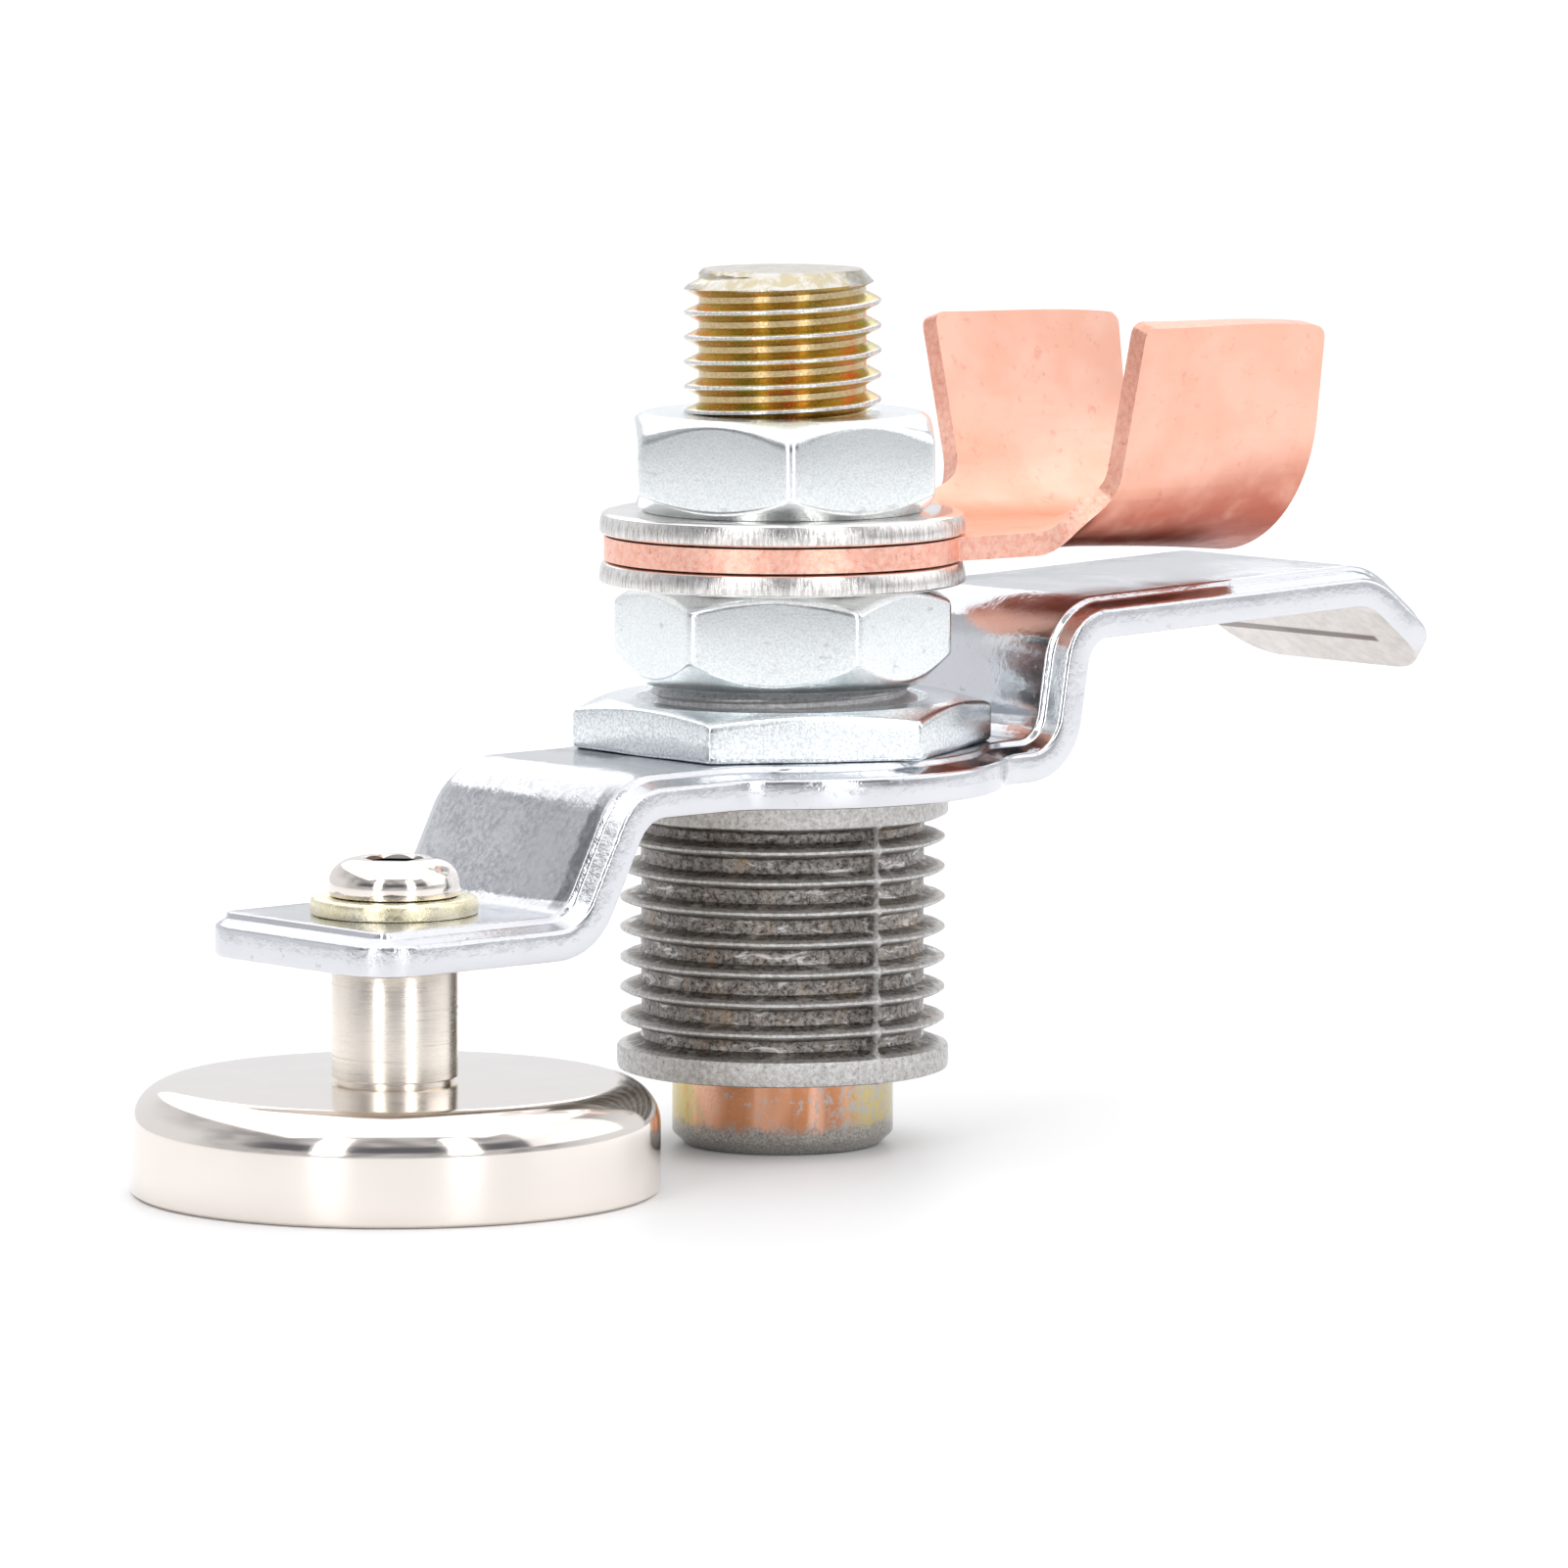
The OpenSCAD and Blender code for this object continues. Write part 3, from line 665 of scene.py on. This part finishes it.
def make_screw(nickel):
    """Button-head screw with a hexagon socket, and its washer."""
    low, high = span("button_screw")
    head_r = span_radius("button_screw")
    under = span("screw_washer")[1].z
    socket_turn, flats, depth = 12, 4.0, 2.1
    face_r, edge_h = 2.9, 0.95
    dome_h = high.z - under

    def profile(angle):
        socket = hex_radius(angle, socket_turn, flats, 0.12)
        side = hex_radius(angle, socket_turn, flats + 0.5, 0.15)
        dome = [(face_r + (head_r - face_r) * sin(g), under + edge_h + (dome_h - edge_h) * cos(g))
                for g in [radians(k) for k in range(6, 91, 7)]]
        recess = [(0.0, high.z - depth - 0.6), (socket, high.z - depth), (socket, high.z - 0.3),
                  (side, high.z - 0.04), (side + 0.06, high.z), (face_r - 0.02, high.z)]
        shank = [(head_r, under + 0.5), (head_r - 0.1, under + 0.12), (head_r - 0.35, under),
                 (2.95, under), (2.9, low.z + 0.6), (2.3, low.z), (0.0, low.z)]
        return recess + dome + shank
    turned("button_screw", "body", FRAME, nickel, profile, hex_angles(socket_turn),
           MAGNET_AXIS)

    low, high = span("screw_washer")
    r, hole = span_radius("screw_washer"), 3.3
    outline = soften([(hole, low.z, 0.2), (r, low.z, 0.25), (r, high.z, 0.55), (hole, high.z, 0.2)], 0.4, 6)
    turned("screw_washer", "body", FRAME, pale_yellow_zinc(), outline, 120, MAGNET_AXIS)


# ---- arm

def toward(angle):
    return Vector((cos(angle), sin(angle)))


class BentPath:
    """The middle line of a bent strip: corners joined by tangent arcs, followed by length."""

    def __init__(self, corners, radii):
        # each part as (start, run, first point, heading, curvature)
        self.parts, self.length = [], 0.0
        here = Vector(corners[0])
        heading = atan2(corners[1][1] - corners[0][1], corners[1][0] - corners[0][0])
        for i, r in enumerate(radii, 1):
            b, c = Vector(corners[i]), Vector(corners[i + 1])
            new = atan2(c.y - b.y, c.x - b.x)
            turn = new - heading
            cut = r * tan(abs(turn) / 2)
            self.add((b - here).length - cut, here, heading, 0.0)
            self.add(r * abs(turn), b - toward(heading) * cut, heading, copysign(1 / r, turn))
            heading = new
            here = b + toward(new) * cut
        self.add((Vector(corners[-1]) - here).length, here, heading, 0.0)

    def add(self, run, origin, heading, curve):
        self.parts.append((self.length, run, origin, heading, curve))
        self.length += run

    def at(self, s):
        """Position and heading at length s."""
        part = next((p for p in reversed(self.parts) if s >= p[0] - 1e-9), self.parts[0])
        start, _, origin, heading, curve = part
        if curve == 0.0:
            return origin + toward(heading) * (s - start), heading
        end = heading + curve * (s - start)
        arc = Vector((sin(end) - sin(heading), cos(heading) - cos(end)))
        return origin + arc / curve, end

    def length_at_x(self, x):
        """The length at which the path passes x, found by halving."""
        low, high = 0.0, self.length
        for _ in range(50):
            mid = (low + high) / 2
            low, high = (mid, high) if self.at(mid)[0].x < x else (low, mid)
        return low

    def stations(self, step_deg=4.0, longest=4.0):
        """Lengths at which the strip is divided, close together in the bends."""
        out = []
        for start, run, _, _, curve in self.parts:
            count = max(1, round(abs(curve) * run / radians(step_deg)), ceil(run / longest))
            out += [start + run * k / count for k in range(count + 1)]
        return sorted(set(round(s, 5) for s in out))[1:-1]


def arm_outline(length, boss_s, inset, near_r, far_r, half_w, boss_r, blend_r):
    """Developed outline of the arm, drawn in by inset, as matching points for every inset."""
    h = half_w - inset
    r, blend = boss_r - inset, blend_r + inset
    reach = sqrt((boss_r + blend_r) ** 2 - (half_w + blend_r) ** 2)
    rise = degrees(atan2(half_w + blend_r, reach))
    upper = arc_points(inset + near_r, h - near_r, near_r, 180, 90, 8)
    upper += arc_points(boss_s - reach, half_w + blend_r, blend, 270, 360 - rise, 6)
    upper += arc_points(boss_s, 0, r, 180 - rise, rise, 28)
    upper += arc_points(boss_s + reach, half_w + blend_r, blend, 180 + rise, 270, 6)
    upper += arc_points(length - inset - far_r, h - far_r, far_r, 90, 0, 10)
    return upper + [(s, -v) for s, v in reversed(upper)]


def circle(x, r, count):
    return [(x + r * cos(TAU * k / count), r * sin(TAU * k / count)) for k in range(count)]


def loop_at(bm, points, height):
    """A closed loop of vertices and its edges, at one height."""
    verts = [bm.verts.new((x, y, height)) for x, y in points]
    return verts, [bm.edges.new(pair) for pair in zip(verts, verts[1:] + verts[:1])]


def skin(bm, a, b):
    """Quads between two loops of the same count."""
    for i in range(len(a)):
        j = (i + 1) % len(a)
        bm.faces.new((a[i], a[j], b[j], b[i]))


def divide(bm, axis, stations):
    """Cuts the mesh across the X axis (0) or the Y axis (1) at each station."""
    normal = Vector((1 - axis, axis, 0))
    for s in stations:
        geom = bm.verts[:] + bm.edges[:] + bm.faces[:]
        bmesh.ops.bisect_plane(bm, geom=geom, dist=1e-5, plane_co=normal * s, plane_no=normal)


def make_arm(chrome):
    """The arm is drawn flat with its stepped edge and holes, then bent along its path."""
    low, high = span("support_arm")
    half_t, half_w, boss_r, neck_blend = 1.7, 11.7, (high.y - low.y) / 2 + 0.05, 5.0
    # heights of the strip's middle: over the magnet, round the sleeve, and along the handle
    magnet_z, boss_z, handle_z, handle_rise = 18.7 + half_t, 29.2 + half_t, 40.4 + half_t, 0.9
    lip_angle, lip_x = radians(38), 56.1
    tip_x = high.x - half_t * sin(lip_angle)
    lip_drop = (tip_x - lip_x) * tan(lip_angle)
    corners = [(low.x, magnet_z), (-30.9, magnet_z), (-25.3, boss_z), (20.2, boss_z), (22.2, handle_z),
               (lip_x, handle_z + handle_rise), (tip_x, handle_z + handle_rise - lip_drop)]
    path = BentPath(corners, [4.4, 4.6, 3.9, 4.0, 6.0])
    boss_s = path.length_at_x(0.0)
    screw_s = path.length_at_x(MAGNET_AXIS[0])

    # the rim as (inset, height over the middle): a rounded wall, a ledge, and the raised plateau
    base, ledge, slope_top, top = -half_t, 2.45 - half_t, half_t - 0.55, half_t
    rim_w = 1.95
    rim = [(0.35, base), (0.10, base + 0.09), (0.0, base + 0.35), (0.0, ledge - 0.35), (0.04, ledge - 0.18),
           (0.14, ledge - 0.04), (0.32, ledge + 0.06), (1.36, slope_top), (1.46, slope_top + 0.05),
           (1.55, slope_top + 0.16), (1.66, top - 0.13), (1.76, top - 0.03), (rim_w, top)]
    # corner radii of the outer wall and of the plateau, at the magnet's end and at the lip
    near_radii, far_radii = (4.5, 0.5), (5.0, 2.4)
    # each hole as (place along the path, radius, points)
    holes = [(boss_s, 11.05, 96), (screw_s, 3.25, 48)]
    chamfer = 0.25

    bm = bmesh.new()
    loops = []
    for inset, height in rim:
        k = inset / rim_w
        near_r, far_r = (outer + (inner - outer) * k for outer, inner in (near_radii, far_radii))
        points = arm_outline(path.length, boss_s, inset, near_r, far_r, half_w, boss_r, neck_blend)
        loops.append(loop_at(bm, points, height))
    for (a, _), (b, _) in zip(loops, loops[1:]):
        skin(bm, a, b)
    base_edges, plateau_edges = list(loops[0][1]), list(loops[-1][1])
    for s, r, count in holes:
        steps = (chamfer, base), (0.0, base + chamfer), (0.0, top - chamfer), (chamfer, top)
        bore = [loop_at(bm, circle(s, r + grow, count), height) for grow, height in steps]
        for (a, _), (b, _) in zip(bore, bore[1:]):
            skin(bm, b, a)
        base_edges += bore[0][1]
        plateau_edges += bore[-1][1]
    for edges in (base_edges, plateau_edges):
        bmesh.ops.triangle_fill(bm, use_beauty=True, use_dissolve=False, edges=edges)
    divide(bm, 0, path.stations())
    for v in bm.verts:
        middle, heading = path.at(v.co.x)
        out = v.co.z
        v.co = Vector((middle.x - out * sin(heading), v.co.y, middle.y + out * cos(heading)))
    arm = make_object("support_arm_plate", bm, 40)
    place(arm, "support_arm", FRAME, chrome)


# ---- sleeve and its nut

def make_sleeve(casting, zinc):
    """Finned casting with two parting lines and a threaded neck, and the nut on the neck."""
    low, high = span("contact_sleeve")
    rim_r, fin_r, root_r, neck_r = span_radius("contact_sleeve"), 13.2, 11.5, 11.0
    chamber_r, guide_r, chamber_top, arm_z, top = 10.0, 8.2, 27.0, 29.2, high.z
    first_fin, last_fin, fin_count, half_tip, half_root = 10.4, 25.15, 7, 0.25, 0.575
    thread_depth, pitch, neck_low = 0.9, 1.5, arm_z + 0.6
    seams = [radians(264.5), radians(84.5)]

    outline = [(chamber_r, low.z + 0.35), (chamber_r + 0.35, low.z), (rim_r - 0.5, low.z),
               (rim_r - 0.12, low.z + 0.14), (rim_r, low.z + 0.5), (rim_r, low.z + 1.8),
               (rim_r - 0.14, low.z + 2.05), (rim_r - 0.6, low.z + 2.2), (root_r + 0.5, low.z + 2.5),
               (root_r + 0.1, low.z + 2.7), (root_r, low.z + 3.0)]
    # half of one fin, as (radius, distance from its middle plane)
    half_fin = [(root_r, half_root + 0.35), (root_r + 0.12, half_root + 0.1),
                (root_r + 0.4, half_root - 0.05), (fin_r - 0.25, half_tip),
                (fin_r - 0.05, half_tip - 0.12), (fin_r, 0.1)]
    for i in range(fin_count):
        z = first_fin + (last_fin - first_fin) * i / (fin_count - 1)
        outline += [(r, z - t) for r, t in half_fin] + [(r, z + t) for r, t in reversed(half_fin)]
    outline += [(root_r, arm_z - 2.75), (root_r + 0.1, arm_z - 2.6), (root_r + 0.5, arm_z - 2.4),
                (rim_r - 0.5, arm_z - 2.25), (rim_r - 0.12, arm_z - 2.1),
                (rim_r, arm_z - 1.85), (rim_r, arm_z - 0.3), (rim_r - 0.3, arm_z),
                (neck_r - 0.3, arm_z), (neck_r - 0.9, neck_low)]
    inside = [(neck_r - 1.2, top), (guide_r + 0.5, top), (guide_r, top - 0.5), (guide_r, chamber_top),
              (chamber_r, chamber_top)]

    def chamfer(z):
        return neck_r - max(0.0, z - (top - 1.0)) * 1.1

    def neck_thread(angle):
        return thread_column(angle, neck_r, thread_depth, pitch, neck_low, top, chamfer)

    def cast(r, z, angle, off_seam):
        """An outline point with the casting's unevenness and the flash left along a seam."""
        if r <= root_r - 0.01 or z >= arm_z:
            return min(r, rim_r), z
        wobble = 0.07 * ripple(angle, 6, z * 0.7)
        rough = 0.035 * ripple(angle, 40, z * 3)
        walk = 0.05 * ripple(angle, 2, 0.0)
        depth = fin_r - r
        line, land = exp(-(off_seam / 0.22) ** 2), 1.0 - smooth((off_seam - 0.6) / 0.3)
        flash = min(0.3, 0.3 * depth) * land + (0.22 + 0.62 * depth) * line
        return min(r + flash + wobble + rough, rim_r), z + (walk + 0.5 * rough) * (z > low.z + 3)

    def profile(angle):
        off_seam = min(abs((angle - a + pi) % TAU - pi) * fin_r for a in seams)
        return [cast(r, z, angle, off_seam) for r, z in outline] + neck_thread(angle) + inside

    # even steps, with narrow ones across each seam
    angles = [TAU * i / 220 for i in range(220)]
    for a in seams:
        angles += [a + k * 0.009 for k in range(-9, 10)]
    angles = sorted(set(round(a, 5) for a in angles))
    turned("contact_sleeve", "casting", FRAME, casting, profile, angles,
           thread=(len(outline), len(neck_thread(0.0))))
    hex_nut("sleeve_nut", FRAME, zinc, flats=30.0, turn=28.6, bore=11.1, corner_r=0.45, top_deg=15,
            under_deg=0)


def hex_nut(node, body, material, flats, turn, bore, corner_r, top_deg, under_deg, top_round=0.8):
    """A nut with its corners turned off by cones at two slopes, and countersunk threads."""
    low, high = span(node)
    face_r = flats * 0.472

    def profile(angle):
        r = hex_radius(angle, turn, flats, corner_r)
        top, under = [(r - face_r) * tan(radians(g)) for g in (top_deg, under_deg)]
        return soften([(bore, low.z + 0.9), (bore + 0.8, low.z, 0.1), (face_r, low.z, 0.2),
                       (r, low.z + under, 0.6), (r, high.z - top, top_round), (face_r, high.z, 0.2),
                       (bore + 0.8, high.z, 0.1), (bore, high.z - 0.9)], 0, 4)
    turned(node, "body", body, material, profile, hex_angles(turn))


# ---- stud, spring and stack

def make_stud(chromate):
    """The contact stud: foot, plain shank inside the sleeve, and M16 thread above."""
    low, high = span("contact_stud")
    foot_r, shank_r, shoulder = 9.0, 7.2, 13.0
    r, depth, pitch, thread_low, chamfer = 8.0, 1.2, 2.0, 34.0, 1.6
    foot = [(0.0, low.z), (foot_r - 1.25, low.z), (foot_r - 1.05, low.z + 0.06),
            (foot_r - 0.12, low.z + 0.93), (foot_r, low.z + 1.15), (foot_r, shoulder - 0.2),
            (foot_r - 0.2, shoulder), (shank_r, shoulder), (shank_r, thread_low - 0.8)]
    end = [(r - chamfer - 0.12, high.z), (r - chamfer - 0.5, high.z), (2.0, high.z), (0.0, high.z)]

    def limit(z):
        return r - max(0.0, z - (high.z - chamfer)) * 0.95

    def thread(angle):
        return thread_column(angle, r, depth, pitch, thread_low, high.z, limit, phase=-0.01)

    turned("contact_stud", "body", PLUNGER, chromate,
           lambda angle: foot + thread(angle) + end, 128, thread=(len(foot), len(thread(0.0))), closed=False)


def make_spring(steel):
    """Round wire in a helix whose end turns close up, with a mesh of its own."""
    low, high = span("contact_spring")
    wire_r, turns, mean_r, flat_turns = 0.75, 4.0, 9.05, 0.35
    bottom, top = low.z + wire_r, high.z - wire_r
    steps, sides = 200, 14
    bm = bmesh.new()
    rings = []
    for i in range(steps + 1):
        turn = turns * i / steps
        g = TAU * turn
        rise = min(1.0, max(0.0, (turn - flat_turns) / (turns - 2 * flat_turns)))
        z = bottom + (top - bottom) * rise
        wire = arc_points(mean_r, z, wire_r, 0, 360, sides)[:-1]
        rings.append([bm.verts.new((x * cos(g), x * sin(g), height)) for x, height in wire])
    for a, b in zip(rings, rings[1:]):
        skin(bm, a, b)
    bm.faces.new(rings[0])
    bm.faces.new(rings[-1])
    spring = make_object("contact_spring_wire", bm)
    place(spring, "contact_spring", FRAME, steel)
    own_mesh(spring)


def make_washers(nickel):
    """The spring's seat, and two stamped washers whose torn edges differ by their seed."""
    low, high = span("spring_seat_washer")
    outline = soft_ring(8.15, 9.7, low.z, high.z, 0.15)
    turned("spring_seat_washer", "body", PLUNGER, nickel, outline, 96)
    for node, seed in (("lower_washer", 3.0), ("upper_washer", 11.0)):
        low, high = span(node)
        r, hole = span_radius(node), 8.4

        def profile(angle):
            ragged = 0.045 * ripple(angle, 5, seed)
            torn = 0.012 * ripple(angle, 22, seed)
            edge = r - 0.12 + ragged + torn
            return [(hole, low.z + 0.1), (hole + 0.1, low.z), (edge - 0.6, low.z + 0.04),
                    (edge - 0.2, low.z + 0.12), (edge - 0.04, low.z + 0.26), (edge, low.z + 0.5),
                    (edge - 0.02, low.z + 0.9 + 3 * ragged), (edge - 0.12, high.z - 0.45),
                    (edge - 0.22, high.z - 0.2), (edge - 0.42, high.z - 0.06), (edge - 0.8, high.z),
                    (hole + 0.1, high.z), (hole, high.z - 0.1)]
        turned(node, "body", PLUNGER, nickel, profile, 240)


# ---- cable lug

def make_lug(copper, cut_copper, turn_deg):
    """The lug is cut out flat, then bent: wings first lie beside the strip, then stand up."""
    half_t = 0.97
    middle_z = span("lower_washer")[1].z + 0.08 + half_t
    eye_r, hole_r, neck_half = 14.5, 8.25, 10.6
    # distances from the stud at which the bend starts, and at which the wings begin and end
    bend_from, near, far = 18.0, 25.4, 44.4
    # at the wings' near and far ends: the flat floor's half width, inner bend radius and lean
    near_flat, far_flat, near_bend, far_bend = 4.7, 0.2, 7.5, 13.8
    near_lean, far_lean, floor_drop = radians(75), radians(82), 1.5

    def section(d):
        """Flat half width, middle bend radius, bend angle and height at distance d."""
        k = max(0.0, (d - near) / (far - near))
        kk = smooth(k)
        lean = near_lean + (far_lean - near_lean) * kk
        angle = lean * min(1.0, max(0.0, (d - bend_from) / (near - bend_from))) ** 2
        flat = near_flat + (far_flat - near_flat) * kk
        return flat, near_bend + (far_bend - near_bend) * kk - half_t, angle, middle_z - floor_drop * k ** 1.3

    def bent(d, across, out):
        """Where a point of the flat sheet ends up; out is its height over the sheet's middle."""
        flat, r, angle, z = section(d)
        a = abs(across)
        past = max(0.0, a - flat)
        g = min(angle, past / r)
        rest = past - r * g
        y = min(a, flat) + r * sin(g) + rest * cos(g) - out * sin(g)
        z += r * (1 - cos(g)) + rest * sin(g) + out * cos(g)
        return Vector((d, copysign(y, across), z))

    fillet_r, corner_r = 3.4, 1.0
    join = degrees(asin(neck_half / eye_r))

    def half(wing_near, wing_far):
        """One side of the flat outline, from behind the eye to the middle of the far end."""
        line = arc_points(0, 0, eye_r, 180, join, 36)
        line += arc_points(near - fillet_r, neck_half + fillet_r, fillet_r, 270, 360, 8)
        line += [(near, (neck_half + fillet_r + wing_near) / 2)]
        line += arc_points(near + corner_r, wing_near - corner_r, corner_r, 180, 92, 6)
        line += arc_points(far - corner_r, wing_far - corner_r, corner_r, 88, 0, 6)
        return line + [(far, 14.0)]
    outline = half(26.0, 25.6) + [(d, -a) for d, a in reversed(half(26.6, 26.2)[1:])]
    hole = circle(0.0, hole_r, 72)

    bm = bmesh.new()
    rims, caps = [], []
    for out in (-half_t, half_t):
        (verts, edges), (hole_verts, hole_edges) = loop_at(bm, outline, out), loop_at(bm, hole, out)
        rims.append((verts, hole_verts))
        caps.append(edges + hole_edges)
    skin(bm, rims[0][0], rims[1][0])
    skin(bm, rims[1][1], rims[0][1])
    for face in bm.faces:
        face.material_index = 1
    for edges in caps:
        bmesh.ops.triangle_fill(bm, use_beauty=True, use_dissolve=False, edges=edges)
    divide(bm, 0, [bend_from + 0.4 * k for k in range(66)])
    divide(bm, 1, [side * (1.2 + 0.9 * k) for side in (-1, 1) for k in range(24)])
    turn = Matrix.Rotation(radians(turn_deg), 3, "Z")
    for v in bm.verts:
        v.co = turn @ bent(*v.co)
    bm.faces.index_update()
    cut_faces = [face.index for face in bm.faces if face.material_index == 1]
    lug = make_object("cable_lug_sheet", bm)
    round_edges(lug, 0.22)
    place(lug, "cable_lug", TERMINAL, copper)
    lug.data.materials.append(cut_copper)
    for index in cut_faces:
        lug.data.polygons[index].material_index = 1


# ---- stage

VIEW_X, VIEW_Y = 0.6633, 0.7484  # the camera's heading


def seen(ahead, right, z):
    """A place or direction, from its parts along the camera's heading and to its right."""
    return ahead * VIEW_X + right * VIEW_Y, ahead * VIEW_Y - right * VIEW_X, z


def stand(name, data, location, aim):
    """Puts a camera or a light somewhere, aimed along a direction."""
    thing = bpy.data.objects.new(name, data)
    thing.location = location
    thing.rotation_mode = "QUATERNION"
    thing.rotation_quaternion = Vector(aim).to_track_quat("-Z", "Y")
    bpy.context.collection.objects.link(thing)
    return thing


def make_camera():
    """A long lens a little above the clamp, placed by a fit to its round and hexagonal pieces."""
    data = bpy.data.cameras.new("view")
    data.sensor_width = 36.0
    data.lens = 247.9
    data.clip_start, data.clip_end = 0.05, 20.0
    pitch = radians(6.242)
    aim = seen(cos(pitch), 0.0, -sin(pitch))
    bpy.context.scene.camera = stand("view", data, (-0.57868, -0.65311, 0.1248), aim)


def area_light(name, location, aim, size, radiance):
    data = bpy.data.lights.new(name, "AREA")
    data.shape = "RECTANGLE"
    data.size, data.size_y = size
    data.energy = radiance * pi * size[0] * size[1]
    return stand(name, data, location, aim)


def studio_world():
    """A grey room with a white wall behind the object and a dim band behind the camera."""
    world = bpy.data.worlds.new("studio")
    world.use_nodes = True
    w = NodeTree(world.node_tree)
    east, north, up = w.add("SeparateXYZ", {0: w.add("TexCoord", {})["Generated"]})
    # 1 behind the camera, -1 behind the object
    behind = w.plus(w.times(east, -VIEW_X), w.times(north, -VIEW_Y))
    wall = w.times(w.between(behind, 0.35, -0.25), w.between(up, 0.80, 0.20))
    ground = w.between(up, 0.03, -0.03)
    room = w.blend(w.add("TexNoise", {"Scale": 3.5, "Detail": 3.0})["Fac"], 0.40, 0.60,
                   (0.36, 0.365, 0.38), (0.58, 0.58, 0.60))
    color = w.mix(w.math("MAXIMUM", wall, ground), room, (0.84, 0.85, 0.875))
    band = w.times(w.between(up, 0.15, 0.21), w.between(up, 0.52, 0.38))
    color = w.mix(w.times(w.between(behind, 0.25, 0.6), band), color, (0.13, 0.135, 0.155))
    w.put(w.nodes["Background"].inputs[0], color)
    bpy.context.scene.world = world


def make_lights():
    """Two upright strips beside the camera, a soft panel on the right and a big one overhead."""
    away = 0.75
    for name, offset in (("strip_left", -28), ("strip_right", 29)):
        back, right = away * cos(radians(offset)), away * sin(radians(offset))
        area_light(name, seen(-back, right, 0.40), seen(back, -right, 0.0), (0.16, 0.7), 4.0)
    area_light("fill_right", seen(0.0, 1.0, 0.75), seen(0.0, -1.0, 0.0), (1.1, 1.1), 0.8)
    overhead = area_light("overhead", seen(1.5, -0.1, 1.1), (0.0, 0.0, -1.0), (2.0, 4.7), 1.05)
    overhead.rotation_mode = "XYZ"
    overhead.rotation_euler = (0.0, 0.0, atan2(-VIEW_X, VIEW_Y))


def make_stage():
    """A pale floor under the clamp, and the studio round it."""
    bm = bmesh.new()
    bmesh.ops.create_grid(bm, x_segments=1, y_segments=1, size=6000)
    floor = make_object("floor", bm)
    floor.location.z = cad_box[0].z
    f = Finish("floor_white", metallic=0.0)
    floor.data.materials.append(f.done(f.mix(f.noise(60, 2), (0.93, 0.93, 0.93), (0.95, 0.95, 0.95)), 0.45))
    studio_world()
    make_lights()
    bpy.context.scene.view_settings.view_transform = "Standard"


# ---- build

def build():
    make_camera()
    nickel = bright_nickel()
    zinc = clear_zinc("nut_zinc", 0.2, (0.77, 0.805, 0.815))
    make_magnet(nickel, bright_nickel("turned_nickel", turning=True))
    make_screw(bright_nickel("nickel_painted_socket_shade", socket_shade_r=2.35))
    make_arm(bright_chrome())
    make_sleeve(die_casting(), clear_zinc("sleeve_nut_zinc", 0.24, (0.64, 0.68, 0.72)))
    make_stud(yellow_chromate())
    make_spring(spring_steel())
    hex_nut("lower_nut", PLUNGER, zinc, flats=24.0, turn=15.3, bore=7.1, corner_r=1.0, top_deg=30,
            under_deg=45)
    hex_nut("top_nut", PLUNGER, zinc, flats=24.0, turn=51.5, bore=7.1, corner_r=0.9, top_deg=30,
            under_deg=37, top_round=1.7)
    make_washers(sheared_nickel())
    lug_turn = -5.5
    make_lug(worked_copper(lug_turn), sheared_copper(), lug_turn)
    make_stage()


build()
